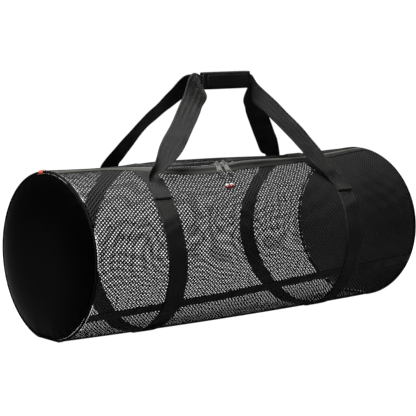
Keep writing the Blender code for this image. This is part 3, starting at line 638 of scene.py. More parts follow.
def surface_frame(s, angle, lift):
    """X along the bag, Y up its side and Z outwards, from small steps on the skin."""
    ahead = skin(s + SMALL_STEP, angle, lift) - skin(s - SMALL_STEP, angle, lift)
    along = Vector(ahead).normalized()
    turn = degrees_along(SMALL_STEP)
    upward = Vector(skin(s, angle + turn, lift) - skin(s, angle - turn, lift))
    out = along.cross(upward).normalized()
    return axes_matrix(Vector(skin(s, angle, lift)), along, out.cross(along), out)


def pull_anchor(side):
    """Where a slider is: its place along the bag and the zip's angle there."""
    s = (PULL_PLACES[side] - 0.5) * BAG_LENGTH
    return s, float(zip_row(s)["angle"])


def bridge_centre():
    """Height of the bridge ring's centre above the slider's plate."""
    return BRIDGE_RADIUS + BRIDGE_WIRE - SLIDER_PLATE * BRIDGE_SUNK


def pull_frame(side):
    """A pull plate's placing: X along the bag, Y from its foot up to the bridge."""
    s, angle = pull_anchor(side)
    top_lift = 2 * LAYER_GAP + FACING_THICKNESS + SLIDER_PLATE + bridge_centre()
    top_lift += BRIDGE_RADIUS - BRIDGE_WIRE - PULL_THICKNESS / 2 - SEAM_GAP
    top = Vector(skin(s, angle, top_lift))
    foot_lift = LAYER_GAP + FACING_THICKNESS + 2 * SEAM_GAP + CORD_DIAMETER + PULL_THICKNESS
    foot_angle = angle - degrees_along(PULL_LENGTH)
    foot = Vector(skin(s - PULL_SLANT[side] * PULL_LENGTH, foot_angle, foot_lift))
    upward = (top - foot).normalized()
    out = Vector(axis_point(s)[1]).cross(upward).normalized()
    return axes_matrix(top, upward.cross(out), upward, out)


def tip_frame(side):
    """A tip's placing on the net under its pull: Y points up to the pull's foot."""
    foot = pull_frame(side) @ Vector((0.0, -PULL_LENGTH, 0.0))
    s, angle = pull_anchor(side)
    s -= PULL_SLANT[side] * PULL_LENGTH * TIP_DRIFT[side]
    down = PULL_LENGTH + CORD_DROP + TIP_LENGTH / 2
    place = surface_frame(s, angle - degrees_along(down), LAYER_GAP + TIP_THICKNESS / 2)
    out = place.col[2].xyz
    sideways = (foot - place.translation).cross(out).normalized()
    return axes_matrix(place.translation, sideways, out.cross(sideways), out)


# %% Cord loops
CORD_SIDES = 10
CORD_END = 0.02


def cord_route(side):
    """The loop's points: up from the tip, round the foot bar, down to the tip."""
    foot = PULL_BAR / 2 - PULL_LENGTH
    bar_top = foot + PULL_FOOT_BAR
    turn = CORD_DIAMETER / 2 + SEAM_GAP
    over = PULL_THICKNESS / 2 + turn
    below = foot - CORD_DIAMETER
    around = [(CORD_SPREAD / 4, below, over)]
    for face, degrees in ((1, (90, 45, 0)), (-1, (0, -45, -90))):
        for angle in np.radians(degrees):
            height = face * PULL_THICKNESS / 2 + turn * math.sin(angle)
            around.append((0.0, bar_top + turn * math.cos(angle), height))
    around.append((-CORD_SPREAD / 4, below, -over))
    plate, tip = pull_frame(side), tip_frame(side)
    entry = TIP_LENGTH / 2 + SEAM_GAP
    rises = (entry, entry + TIP_LENGTH / 3)
    up = [tip @ Vector((CORD_SPREAD / 2, rise, 0.0)) for rise in rises]
    down = [tip @ Vector((-CORD_SPREAD / 2, rise, 0.0)) for rise in rises[::-1]]
    return np.array([*up, *(plate @ Vector(point) for point in around), *down])


def pull_cord(side):
    """The loop as a tube of CORD_DIAMETER with rounded ends."""
    line = smooth_line(cord_route(side), CORD_DIAMETER / 2)
    run = running_length(line)
    end = np.minimum(run, run[-1] - run) / (CORD_DIAMETER / 2)
    radius = CORD_DIAMETER / 2 * np.sqrt(np.clip(1 - (1 - np.clip(end, 0, 1)) ** 2, CORD_END, 1))
    out = np.array(pull_frame(side).col[0].xyz)
    points = tube_points(line, radius, CORD_SIDES, out)
    around = np.linspace(0.0, math.pi * CORD_DIAMETER, CORD_SIDES + 1)
    piece = surface(f"cord_loop_{side}", points, CORD_BRAID, around, run, (False, True))
    fill_rings(piece, CORD_SIDES, (0, -1))
    return settle(piece, "cord", f"pull_cord_{side}"), line


cords = {side: pull_cord(side) for side in OUTWARD}
for side, (piece, line) in cords.items():
    print(piece.name, "is", round(running_length(line)[-1] * 1000, 1), "mm long")

# %% [markdown]
# ## The moulded tips
# Each tip is a small block of soft plastic, pale above and deep red below, with all its
# edges rounded. A block with rounded edges can be one formula: a superellipsoid, whose
# sections are rounded rectangles that shrink towards both ends. The two colours follow
# the UV map, where the long way of the tip is measured in metres.

# %% Tips
TIP_SIDES = 28
TIP_RINGS = 25
TIP_GIRTH = 0.024
TIP_TAPER = 0.15
TIP_POWERS = {"rings": 0.35, "width": 0.55, "length": 0.45, "thickness": 0.7}
RED_BELOW = (0.0062, 0.0070)
RED_WAVES = 0.0006


def two_tone_plastic():
    """Pale plastic that turns deep red past a soft line across the tip."""
    material = new_finish("tip_plastic", Coat_Weight=0.15, Coat_Roughness=0.2)
    grain = noise(material, coordinates(material, "Object"), 900.0)
    wavy = calculate(material, "MULTIPLY_ADD", grain, RED_WAVES, uv_measures(material)[1])
    amount = between(material, wavy, 0.0, 1.0, *RED_BELOW)
    colour = blend_colours(material, amount, (0.22, 0.008, 0.010), (0.55, 0.54, 0.51))
    connect(material, Base_Color=colour, Roughness=between(material, grain, 0.3, 0.45))
    bump(material, grain, 0.00005)
    return material


TIP_PLASTIC = two_tone_plastic()


def signed_power(value, power):
    """A value's size raised to a power, with its sign kept."""
    return np.sign(value) * np.abs(value) ** power


def pull_tip(side):
    """A superellipsoid: x = cos(a)^p cos(b)^q, y = sin(a)^r, z = cos(a)^p sin(b)^t, which
    grows a little slimmer towards the cord."""
    rise = np.linspace(-np.pi / 2, np.pi / 2, TIP_RINGS)[1:-1, None]
    turn = np.linspace(0.0, 2 * np.pi, TIP_SIDES, endpoint=False)
    ring = signed_power(np.cos(rise), TIP_POWERS["rings"])
    x = ring * signed_power(np.cos(turn), TIP_POWERS["width"]) * TIP_WIDTH / 2
    level = signed_power(np.sin(rise), TIP_POWERS["length"])
    y = np.broadcast_to(level, x.shape) * TIP_LENGTH / 2
    z = ring * signed_power(np.sin(turn), TIP_POWERS["thickness"]) * TIP_THICKNESS / 2
    slim = 1.0 - TIP_TAPER * np.clip(y / (TIP_LENGTH / 2), 0.0, 1.0)
    local = np.stack([x * slim, y, z * slim], axis=-1)
    placing = np.array(tip_frame(side))
    points = local @ placing[:3, :3].T + placing[:3, 3]
    around = np.linspace(0.0, TIP_GIRTH, TIP_SIDES + 1)
    along = local[:, 0, 1] + TIP_LENGTH / 2
    piece = surface(f"tip_{side}", points, TIP_PLASTIC, around, along, (False, True))
    fill_rings(piece, TIP_SIDES, (0, -1))
    return settle(piece, "tip", f"pull_tip_{side}")


tips = {side: pull_tip(side) for side in OUTWARD}


def declare_cord(side):
    """Work out the point below the pull's foot where the cord leaves it; it is not used further.
    """
    exit_point = pull_frame(side) @ Vector((0.0, -PULL_LENGTH - EXIT_BELOW, 0.0))


for side in cords:
    declare_cord(side)

# %% [markdown]
# ## The net
# The net is what one sees of this bag, so its holes are real holes. It is a lattice of
# diamonds: two families of strands that cross. On a chessboard of places, a crossing
# sits where the two counts add up to an even number and a hole where they add up to an
# odd one. Each cell is four faces between its crossings and a smaller diamond, which
# is its hole. The crossings stand a little proud, so each strand is round like yarn.
# The lattice is cut in one piece and stretched askew towards the right, as in the
# photograph. It is split in four objects where strips or the underside hide the seam.

# %% Net lattice
NET_WALL = 0.0004
CELL_ALONG = 0.00417
CELL_AROUND = 0.00386
HOLE_FRONT = 0.49
HOLE_BACK = 0.80
STRAND_CROWN = 0.00025
SKEW_LEFT = -0.13
SKEW_RIGHT = 0.12
ARC_ABOVE = 0.30
ARC_BELOW = 1.10
ARC_STEPS = (-1.5, 0.5, 400)
STRETCH_UP = 2.6
STRETCH_BOUNDS = (0.93, 1.36)
LEAN_UP = 0.33
LEAN_START = 0.07
LEAN_SOFT = 0.03
LEAN_END = -0.30
SPARE_COLUMNS = 14
NET_UNDER_FACING = 0.006
WANDER = 0.0006
LOOSE_BACK = 3.5
LOOSE_FROM = -0.25
LOOSE_RAMP = 0.10
# Each wave: its share, and its turn for each metre along the bag and round it.
SWAY_WAVES = ((1.0, 31.0, 9.0), (0.6, -23.0, 67.0))
LEAN_WAVES = ((1.0, 17.0, 43.0), (0.6, 71.0, 25.0))
WRINKLE_DEPTH = 0.0015
WRINKLE_ANGLE = 26.0
WRINKLE_SPREAD = 20.0
WRINKLE_STRIP_CLEAR = 0.85
WRINKLE_END_CLEAR = 0.04
# Each wave: its share, its turns, how far it drifts and the drift's own turns.
WRINKLE_WAVES = ((0.6, 150.0, 95.0, 2.2, 17.0, -30.0), (0.4, 60.0, -170.0, 1.8, 26.0, 11.0))
HOLE_RAMP = (46.0, 85.0)
NET_PIECES = {
    "net_left_bay": (-1.0, -0.245),
    "net_middle_left": (-0.245, -0.005),
    "net_middle_right": (-0.005, 0.235),
    "net_right_bay": (0.235, 1.0),
}


def skew_drift(s):
    """How far the strands have climbed at s: the slope grows evenly along the bag, so
    this is its integral, slope_left x s + growth x s squared / 2."""
    growth = (SKEW_RIGHT - SKEW_LEFT) / (2 * NET_HALF)
    start = s + NET_HALF
    return SKEW_LEFT * start + growth * start**2 / 2


def waves(table, s, arc):
    """The sum of share x sin(turn along x s + turn round x arc) over a table's rows."""
    return sum(share * np.sin(along * s + around * arc) for share, along, around in table)


def wander(s, arc):
    """Small soft wandering of the strands, as in any knitted net: a few slow waves, which
    are stronger past the underside, at the back, where nothing pulls the net straight."""
    back = np.clip((LOOSE_FROM - arc) / LOOSE_RAMP, 0.0, 1.0)
    loose = WANDER * (1.0 + LOOSE_BACK * back)
    return loose * waves(LEAN_WAVES, s, arc), loose * waves(SWAY_WAVES, s, arc)


def pulled(arc):
    """The handles pull the net up towards the zip, so its cells grow taller from the
    middle of the front upwards: the arc is the integral of 1 + stretch x arc, which is
    kept between two bounds."""
    at = np.linspace(*ARC_STEPS)
    growth = np.clip(1.0 + STRETCH_UP * at, *STRETCH_BOUNDS)
    total = np.concatenate([[0.0], np.cumsum((growth[1:] + growth[:-1]) / 2 * np.diff(at))])
    return np.interp(arc, at, total - np.interp(0.0, at, total))


def lattice_point(p, q):
    """The place of chessboard column p and row q, and whether it is on the net. s = p x
    cell width, and arc = the climb of the skew - q x cell height. High on the front the
    columns lean to the right, by a share of (sqrt(high^2 + soft^2) + high) / 2."""
    s = p * CELL_ALONG - NET_HALF
    arc = pulled(ARC_ABOVE - q * CELL_AROUND + skew_drift(s))
    lean, sway = wander(s, arc)
    high = arc - LEAN_START
    rise = (np.sqrt(high**2 + LEAN_SOFT**2) + high) / 2
    s = s + lean + LEAN_UP * rise * (arc > LEAN_END)
    angle = degrees_along(arc + sway)
    under = CHAIN_WIDTH / 2 + LAYER_GAP + FACING_WIDTH - NET_UNDER_FACING
    kept = np.clip(s, -NET_HALF, NET_HALF)
    top = zip_angle(kept, "front", under)
    foot = zip_angle(kept, "rear", under) - 360.0
    return kept, np.clip(angle, foot, top), (angle < top) & (angle > foot) & (kept == s)


def hole_share(angle):
    """A hole's size as a share of its cell's. The back hangs loose and is pulled open, so
    its holes are wider: a straight ramp under the bag from the front's to the back's."""
    return np.interp(-angle, HOLE_RAMP, (HOLE_FRONT, HOLE_BACK))


def wrinkles(s, angle):
    """Shallow folds where the front net is slack, between the girth strips and under the
    zip: two sets of slanting waves, each drifting in width, that fade out at the strips,
    the facing and the lower front."""
    arc = np.radians(angle) * BAG_RADIUS
    depth = 1.0
    for share, along, around, drift, *turns in WRINKLE_WAVES:
        aside = drift * np.sin(turns[0] * s + turns[1] * arc)
        depth = depth + share * np.sin(along * s + around * arc + aside)
    here = hump(angle - WRINKLE_ANGLE, WRINKLE_SPREAD)
    for side in OUTWARD:
        away = s - girth_centre(side, angle)
        here = here * (1 - hump(away, WEBBING_WIDTH * WRINKLE_STRIP_CLEAR))
    here = here * np.clip((NET_HALF - np.abs(s)) / WRINKLE_END_CLEAR, 0.0, 1.0)
    return -WRINKLE_DEPTH * here * depth


def net_cells():
    """Chessboard places of all holes, and which of them lie inside the net."""
    columns = round(2 * NET_HALF / CELL_ALONG)
    rows = round((ARC_ABOVE + ARC_BELOW + skew_drift(NET_HALF)) / CELL_AROUND)
    column = np.arange(-SPARE_COLUMNS, columns + SPARE_COLUMNS)
    p, q = np.meshgrid(column, np.arange(rows + 1), indexing="ij")
    inside = ((p + q) % 2 == 1) & lattice_point(p, q)[2]
    return p[inside], q[inside]


def net_piece(name, span, cells):
    """Four faces round each hole: crossing, next crossing, hole corner, hole corner."""
    p, q = cells
    centre_s = p * CELL_ALONG - NET_HALF
    mine = (centre_s >= span[0]) & (centre_s < span[1])
    p, q = p[mine], q[mine]
    steps = np.array([(-1, 0), (0, 1), (1, 0), (0, -1)])
    corner = np.stack([p, q], -1)[:, None] + steps
    number, cell_corner = np.unique(corner.reshape(-1, 2), axis=0, return_inverse=True)
    s, angle, _ = lattice_point(number[:, 0], number[:, 1])
    crossing = skin(s, angle, STRAND_CROWN + wrinkles(s, angle))
    cell_corner = cell_corner.reshape(-1, 4)
    cell = np.stack([s[cell_corner], angle[cell_corner]])
    middle = cell.mean(-1, keepdims=True)
    at = middle + hole_share(middle[1]) * (cell - middle)
    hole = skin(*at, wrinkles(*at)).reshape(-1, 3)
    inner = len(crossing) + np.arange(len(hole)).reshape(-1, 4)
    after = np.roll(np.arange(4), -1)
    quad = (cell_corner, cell_corner[:, after], inner[:, after], inner)
    faces = np.stack(quad, axis=-1).reshape(-1, 4)
    piece = build_piece(name, np.vstack([crossing, hole]), faces, NET_YARN)
    declare_net(piece, np.ptp(s), np.ptp(np.radians(angle)) * BAG_RADIUS)
    thicken(piece, NET_WALL)
    return settle(piece, "net", "mesh_body"), len(p)


def declare_net(piece, length, width):
    """A sheet of net is as large as its yarn, so its area leaves the holes out."""
    area = np.empty(len(piece.data.polygons))
    piece.data.polygons.foreach_get("area", area)
    print(f"{piece.name}: {length:.3f} x {width:.3f} m, yarn {area.sum():.3f} m2")


cells = net_cells()
net = {name: net_piece(name, span, cells) for name, span in NET_PIECES.items()}
print("holes:", sum(count for _, count in net.values()))

# %% [markdown]
# ## The webbing strips
# Two wide webbing strips are sewn round the body, from one side of the zip round the
# underside to the other side, and a narrow one runs along the lower front below them.
# A strip is a grid on the bag's skin: rows across its width, columns round the bag. Its
# lift makes it climb over the narrow strip, curl at its edges and lie in the few soft
# folds that the photograph shows under the front left handle.

# %% Girth strips
STRIP_COLUMNS = 11
STRIP_STEPS = 300
SLANT_ROUNDS = 4
CLIMB_CLEARANCE = 1.5
CLIMB_SPREAD = 3.5
EDGE_CURL = 0.0003
FOLD_SLANT = 2.5
# Each fold: its strip, its angle and its width in degrees, and its height.
FOLDS = (("left", 27.0, 3.2, 0.0024), ("left", 19.5, 2.4, 0.0017), ("right", 24.0, 2.6, 0.0015))


def lower_strip_angle(s):
    """The narrow strip's angle climbs from the left end to the right end."""
    share = np.asarray(s, float) / BAG_LENGTH + 0.5
    return read_table(LOWER_STRIP_LINE, share)[..., 0]


def strip_lift(side, angle, across):
    """The wall above the net + the climb over the narrow strip + bells for the folds,
    which slant across the strip. The edges turn down by the fourth power of across."""
    middle = float(lower_strip_angle(girth_centre(side, LOWER_STRIP_LINE[0][1])))
    edge = degrees_along(LOWER_STRIP_WIDTH / 2) + CLIMB_CLEARANCE
    away = np.abs(upright(angle) - middle)
    climb = np.clip((edge + CLIMB_SPREAD - away) / CLIMB_SPREAD, 0.0, 1.0)
    lift = STRIP_OUTER + climb * (LAYER_GAP + LOWER_STRIP_THICKNESS)
    for fold_side, place, width, height in FOLDS:
        if fold_side == side:
            lift = lift + height * hump(upright(angle) - place - FOLD_SLANT * across, width)
    return lift - EDGE_CURL * np.abs(across) ** 4


def strip_point(side, angle, across, extra=0.0):
    """A point on a girth strip: across runs from -1 to 1 over its width."""
    s = girth_centre(side, angle) + across * WEBBING_WIDTH / 2
    return skin(s, angle, strip_lift(side, angle, across) + extra)


def girth_angles(side, across):
    """Angles from the front facing's edge down round the bag to the rear facing's, at
    each place across the strip. The two ends slant with the facings: an end's place
    along the bag and its angle depend on each other, and a few rounds settle both."""
    edge = CHAIN_WIDTH / 2 + 2 * LAYER_GAP + FACING_WIDTH
    ends = []
    for face, end_angle in GIRTH_END_ANGLES.items():
        s = girth_centre(side, end_angle) + across * WEBBING_WIDTH / 2
        for _ in range(SLANT_ROUNDS):
            s = girth_centre(side, zip_angle(s, face, edge)) + across * WEBBING_WIDTH / 2
        ends.append(zip_angle(s, face, edge))
    steps = np.linspace(0.0, 1.0, STRIP_STEPS)
    return ends[0][:, None] + steps * (ends[1] - 360.0 - ends[0])[:, None]


def girth_strip(side):
    """Rows across the strip and columns round the bag."""
    across = np.linspace(-1.0, 1.0, STRIP_COLUMNS)
    angle = girth_angles(side, across)
    points = strip_point(side, angle, across[:, None])
    run = running_length(points[STRIP_COLUMNS // 2])
    width = across * WEBBING_WIDTH / 2
    piece = surface(f"webbing_girth_{side}", points, WEBBING, run, width)
    thicken(piece, WEBBING_THICKNESS)
    settle(piece, "webbing", f"girth_strip_{side}")


for side in OUTWARD:
    girth_strip(side)


# %% The narrow lengthwise strip
LOWER_STRIP_GRID = (260, 7)


def lower_strip():
    """Rows along the bag, columns across, at the net + the strip's own thickness."""
    s = np.linspace(-NET_HALF, NET_HALF, LOWER_STRIP_GRID[0])
    width = np.linspace(-0.5, 0.5, LOWER_STRIP_GRID[1]) * LOWER_STRIP_WIDTH
    angle = lower_strip_angle(s)[:, None] - degrees_along(width)
    points = skin(s[:, None], angle, LAYER_GAP + LOWER_STRIP_THICKNESS)
    piece = surface("webbing_lower", points, WEBBING, width, s, turned=True)
    thicken(piece, LOWER_STRIP_THICKNESS)
    settle(piece, "webbing", "lower_strip")


lower_strip()

# %% [markdown]
# ## The handles
# Each handle is one webbing strap. Its two feet are sewn to the girth strips, and its
# middle lies folded in the grip wrap. Webbing bends only one way at a time, so each leg
# is given by a few rows: the middle of the strap and the half width to one side. A
# smooth curve through these rows bends and turns the strap together. Small creases
# are waves along the strap that lift it along its own face.

# %% Handle rows
GRIP_LENGTH = 0.135
GRIP_HEIGHT = 0.037
GRIP_WALL = 0.004
GRIP_CENTRE_X = 0.0205
GRIP_CENTRE_Z = 0.505
WRAP_ROOM = 0.6
LEG_BEHIND_GRIP = 0.13
FOLD_DEPTH = 0.016
LEG_STEP = 0.004
# A leg's hem angle, then in widths of webbing how far past the wrap it runs, drops and
# bows, its twist in degrees, its foot's width as a share and how far that is pulled aside.
LEG_COLUMNS = ("hem", "past", "drop", "bow", "twist", "foot", "pulled")
LEG_ROWS = (
    ("front", "left", 42.0, 0.23, 0.03, -0.27, -28.0, 0.52, -0.19),
    ("front", "right", 35.0, 0.32, 0.59, 0.09, -9.0, 1.00, -0.24),
    ("rear", "left", 133.0, 0.52, 0.08, 0.23, 17.0, 1.00, -0.30),
    ("rear", "right", 135.0, 0.20, 0.36, -0.10, -15.0, 1.00, -0.36),
)
LEG_PLACES = {row[:2]: dict(zip(LEG_COLUMNS, row[2:])) for row in LEG_ROWS}
# Degrees above the hem, rise off the bag in widths of webbing, and how bunched.
SEWN_ROWS = ((0.0, 0.00, 0.00), (5.0, 0.00, 0.00), (10.0, 0.02, 0.25), (16.0, 0.20, 1.00))
# Share of the way up, width, how bunched, and how far turned to the wrap's upright.
FREE_ROWS = (
    (0.14, 1.00, 0.88, 0.0),
    (0.32, 1.00, 0.00, 0.0),
    (0.56, 1.00, 0.00, 0.0),
    (0.80, 1.00, 0.00, 0.1),
    (1.00, 0.88, 0.00, 0.5),
)
WRAP_ROWS = (-0.03, 0.00, 0.06, 0.25)
WRAP_FOLD = 0.50


def sewn_rows(face, side):
    """The sewn foot, from its hem up: middles, and half widths along the bag. Towards
    its top it is pulled aside and bunched to the width of its foot."""
    degrees, rise, bunch = np.array(SEWN_ROWS).T
    place = LEG_PLACES[face, side]
    angle = place["hem"] - REARWARD[face] * degrees
    lift = STRIP_OUTER + LAYER_GAP + WEBBING_THICKNESS / 2 + WEBBING_WIDTH * rise
    s = girth_centre(side, angle) + place["pulled"] * bunch * WEBBING_WIDTH
    width = 1 - (1 - place["foot"]) * bunch
    half = -OUTWARD[side] * axis_point(s)[1] * width[:, None] * WEBBING_WIDTH / 2
    return skin(s, angle, lift), half


def wrap_rows(face, side):
    """The rows inside the wrap: middles on a straight line, half widths pointing down."""
    x = GRIP_CENTRE_X + OUTWARD[side] * (0.5 - np.array(WRAP_ROWS)) * GRIP_LENGTH
    y = REARWARD[face] * (LAYER_GAP + WEBBING_THICKNESS) * WRAP_ROOM
    middle = np.array([(place, y, GRIP_CENTRE_Z) for place in x])
    return middle, np.broadcast_to(-WRAP_FOLD * WEBBING_WIDTH / 2 * UP, middle.shape)


def free_rows(face, side, root, mouth):
    """The free leg: a straight line from root to mouth + a bow of sin(pi x share), and
    a half width that turns by the twist times the same sine."""
    share, width, bunch, turned = np.array(FREE_ROWS).T[..., None]
    place = LEG_PLACES[face, side]
    width = width * (1 - (1 - place["foot"]) * bunch)
    out = OUTWARD[side]
    turn = np.array([out * place["past"], REARWARD[face] * LEG_BEHIND_GRIP, -place["drop"]])
    chord = mouth + WEBBING_WIDTH * turn - root
    way = unit(chord)
    bow = place["bow"] * WEBBING_WIDTH * unit(UP - way[2] * way)
    middle = root + share * chord + np.sin(np.pi * share) * bow
    across = unit(np.array([-out, 0.0, 0.0]) + out * way[0] * way)
    twist = np.radians(place["twist"]) * np.sin(np.pi * share)
    level = np.cos(twist) * across + np.sin(twist) * np.cross(way, across)
    half = unit((1 - turned) * level - turned * UP)
    return middle, half * width * WEBBING_WIDTH / 2


def handle_leg(face, side):
    """One leg from its hem into the wrap. The columns of its rows are the middle, the
    half width and how high the bunched webbing is folded up along its middle."""
    sewn, wrap = sewn_rows(face, side), wrap_rows(face, side)
    free = free_rows(face, side, sewn[0][-1], wrap[0][1])
    middle, half = (np.vstack(parts) for parts in zip(sewn, free, wrap))
    bunch = [row[2] for row in SEWN_ROWS + FREE_ROWS] + [0.0] * len(WRAP_ROWS)
    fold = FOLD_DEPTH * (1 - LEG_PLACES[face, side]["foot"]) * np.array(bunch)
    return smooth_line(middle, LEG_STEP, half, fold)


def leg_parts(rows):
    """Rows of a leg as their middles, half widths and folds."""
    return np.split(rows, (3, 6), axis=1)


# %% Handles
HANDLE_COLUMNS = 13
CREASE_SEEDS = {"front": 1.0, "rear": 4.0}
# Each crease: its height, its turn for each metre, across the strap and for the seed.
CREASES = ((0.0004, 95.0, 1.3, 1.0), (0.0002, 151.0, -2.1, 2.0))
EDGE_WAVE = (0.0008, 61.0, 0.6)
CREASE_START = 0.06
CREASE_RAMP = 0.10
WRAP_CLEAR = 1.1


def crease(run, across, seed):
    """Soft unevenness of a used strap: slow slanting waves, and a wave of its edges by
    the square of across. They fade out near both ends, where the strap is held."""
    away = np.minimum(run, run[-1] - run)
    held = np.clip((away - CREASE_START) / CREASE_RAMP, 0.0, 1.0)[:, None]
    place = run[:, None]
    height, along, shift = EDGE_WAVE
    lift = height * np.cos(along * place + shift * seed) * across**2
    for height, along, aside, shift in CREASES:
        lift = lift + height * np.sin(along * place + aside * across + shift * seed)
    return held * lift


def handle(face):
    """Rows along the strap and columns across: middle + across x half width + crease
    along the strap's own face."""
    left, right = (handle_leg(face, side) for side in OUTWARD)
    middle, half, fold = leg_parts(np.vstack([left, right[::-1]]))
    across = np.linspace(-1.0, 1.0, HANDLE_COLUMNS)
    points = middle[:, None] + across[None, :, None] * half[:, None]
    normal = unit(np.cross(np.gradient(middle, axis=0), half))
    run = running_length(middle)
    beside = np.abs(middle[:, 0] - GRIP_CENTRE_X) / (GRIP_LENGTH / 2) - WRAP_CLEAR
    lift = crease(run, across[None, :], CREASE_SEEDS[face])
    lift = lift * np.clip(beside, 0.0, 1.0)[:, None] + fold * (1 - across**2)
    points = points + lift[..., None] * normal[:, None]
    width = across * WEBBING_WIDTH / 2
    piece = surface(f"webbing_handle_{face}", points, WEBBING, width, run, turned=True)
    thicken(piece, WEBBING_THICKNESS, 0.0)
    settle(piece, "webbing", f"handle_{face}")


for face in REARWARD:
    handle(face)

# %% [markdown]
# ## The grip wrap
# A padded sleeve of black cloth holds the two handles together. Its section is a slim
# rectangle with small round corners, and its flat sides swell a little between their
# edges. The same formula gives the sleeve, the blank patch on its front and the seams
# that run along its edges, so they all lie on one surface.

# %% Grip wrap
WRAP_CORNER = (0.35, 0.28)
WRAP_SWELL = 0.10
WRAP_END_DROP = 0.02
WRAP_RINGS = 61
WRAP_SIDES = 64
SLEEVE_WALL = 0.0028
PATCH_SIZE = (0.116, 0.026)
PATCH_THICKNESS = 0.0008
PATCH_LIFT = 0.0002
PATCH_DRAW = (0.04, 0.18)
PATCH_GRID = (13, 49)


def wrap_depth(place):
    """How deep the wrap is at places from -1 to 1 along it: room for the two handles, a
    wall on both sides, and a swelling of 1 - place^4."""
    room = 2 * (LAYER_GAP + WEBBING_THICKNESS) * WRAP_ROOM + WEBBING_THICKNESS + 2 * LAYER_GAP
    return (room + 2 * GRIP_WALL) * (1.0 + WRAP_SWELL * (1 - np.asarray(place, float) ** 4))


def wrap_front(x, z, lift):
    """Points on the wrap's front: a superellipse has (2y / depth)^(2/p) + (2z / height)
    ^(2/q) = 1, so y follows from z."""
    power = 2 / WRAP_CORNER[1]
    flat = 1 - np.abs(2 * z / GRIP_HEIGHT) ** power
    y = -wrap_depth(2 * x / GRIP_LENGTH) / 2 * flat ** (WRAP_CORNER[0] / 2) - lift
    x, z = np.broadcast_to(x, y.shape), np.broadcast_to(z, y.shape)
    return np.stack([GRIP_CENTRE_X + x, y, GRIP_CENTRE_Z + z], axis=-1)


def grip_wrap():
    """Sections along X: y = (cos t)^p x depth / 2, z = (sin t)^q x height / 2."""
    place = np.linspace(-1.0, 1.0, WRAP_RINGS)[:, None]
    turn = np.linspace(0.0, 2 * np.pi, WRAP_SIDES, endpoint=False)
    y = signed_power(np.cos(turn), WRAP_CORNER[0]) * wrap_depth(place) / 2
    height = GRIP_HEIGHT / 2 * (1 - WRAP_END_DROP * place**6)
    z = signed_power(np.sin(turn), WRAP_CORNER[1]) * height
    x = GRIP_CENTRE_X + np.broadcast_to(place, y.shape) * GRIP_LENGTH / 2
    points = np.stack([x, y, GRIP_CENTRE_Z + z], axis=-1)
    around = np.linspace(0.0, 2 * (GRIP_HEIGHT + float(wrap_depth(0.0))), WRAP_SIDES + 1)
    along = place[:, 0] * GRIP_LENGTH / 2
    piece = surface("grip_sleeve", points, GRIP_CLOTH, around, along, (False, True))
    thicken(piece, SLEEVE_WALL)
    settle(piece, "grip_cloth", "grip_wrap")


def blank_patch():
    """A plain patch with rounded corners: a square grid whose corners are drawn in by
    x sqrt(1 - k z^8) and z sqrt(1 - k x^16)."""
    rows, columns = (np.linspace(-1, 1, count) for count in PATCH_GRID)
    z, x = np.meshgrid(-rows, columns, indexing="ij")
    round_x = x * np.sqrt(1 - PATCH_DRAW[0] * z**8)
    round_z = z * np.sqrt(1 - PATCH_DRAW[1] * x**16)
    half_x, half_z = PATCH_SIZE[0] / 2, PATCH_SIZE[1] / 2
    points = wrap_front(round_x * half_x, round_z * half_z, PATCH_THICKNESS + PATCH_LIFT)
    points = points.transpose(1, 0, 2)[:, ::-1]
    piece = surface("blank_patch", points, WEBBING, z[:, 0] * half_z, x[0] * half_x)
    thicken(piece, PATCH_THICKNESS)
    settle(piece, "grip_cloth")


grip_wrap()
blank_patch()

# %% [markdown]
# ## The zip
# The zip lies between two bands of grey coated cloth. Where the bag is slack, in the
# middle, the front band folds up along the coil as a smooth round lip, and the rear
# band sinks into a valley behind it. The lip has a painted highlight, the front band
# has painted light towards the left end and painted shade towards the right, and the
# rear band is painted darker as shade in its valley. A band is a grid along the zip,
# and its lip is a bell across it. The coil's teeth are waves along the chain, half a
# tooth apart on the two sides, so that they look hooked into each other.

# %% Facings
LIP_HEIGHTS = {"front": 0.0034, "rear": 0.00136}
LIP_PLACE = 0.0035
LIP_WIDTH = 0.0045
SLACK_BELL = {"height": 1.15, "middle": -0.03, "width": 0.25, "sunk": 0.10}
RIPPLE_HEIGHT = 0.0004
RIPPLE_SLANT = (38.0, 260.0)
RIPPLE_DRIFT = (9.0, 1.0)
RIPPLE_FADE = 0.005
FACING_ROWS = 420
FACING_COLUMNS = 17


def slack(s):
    """How slack the bag's top is along the zip: a broad bell round the middle."""
    bell = SLACK_BELL["height"] * hump(s - SLACK_BELL["middle"], SLACK_BELL["width"])
    return np.clip(bell - SLACK_BELL["sunk"], 0.0, 1.0)


def facing_lift(s, side, away):
    """The band's own thickness + the lip's bell beside the coil + slow ripples."""
    lip = LIP_HEIGHTS[side] * slack(s) * hump(away - CHAIN_WIDTH / 2 - LIP_PLACE, LIP_WIDTH)
    slanting = np.sin(RIPPLE_SLANT[0] * s + RIPPLE_SLANT[1] * away)
    ripple = RIPPLE_HEIGHT * slanting * np.sin(RIPPLE_DRIFT[0] * s + RIPPLE_DRIFT[1])
    outer = np.clip((CHAIN_WIDTH / 2 + FACING_WIDTH - away) / RIPPLE_FADE, 0.0, 1.0)
    return LAYER_GAP + FACING_THICKNESS + lip + np.abs(ripple) * outer


def zip_facing(side, finish, order):
    """Rows along the bag and columns away from the coil, on the skin. The order of the
    columns, 1 or -1, makes the faces look outwards."""
    s = np.linspace(-NET_HALF, NET_HALF, FACING_ROWS)[:, None]
    start = CHAIN_WIDTH / 2 + LAYER_GAP
    away = np.linspace(start, start + FACING_WIDTH, FACING_COLUMNS)[::order]
    points = skin(s, zip_angle(s, side, away), facing_lift(s, side, away))
    piece = surface(f"facing_{side}", points, finish, away, s[:, 0])
    thicken(piece, FACING_THICKNESS)
    settle(piece, "facing_cloth", f"zip_facing_{side}")


zip_facing("front", FACING, 1)
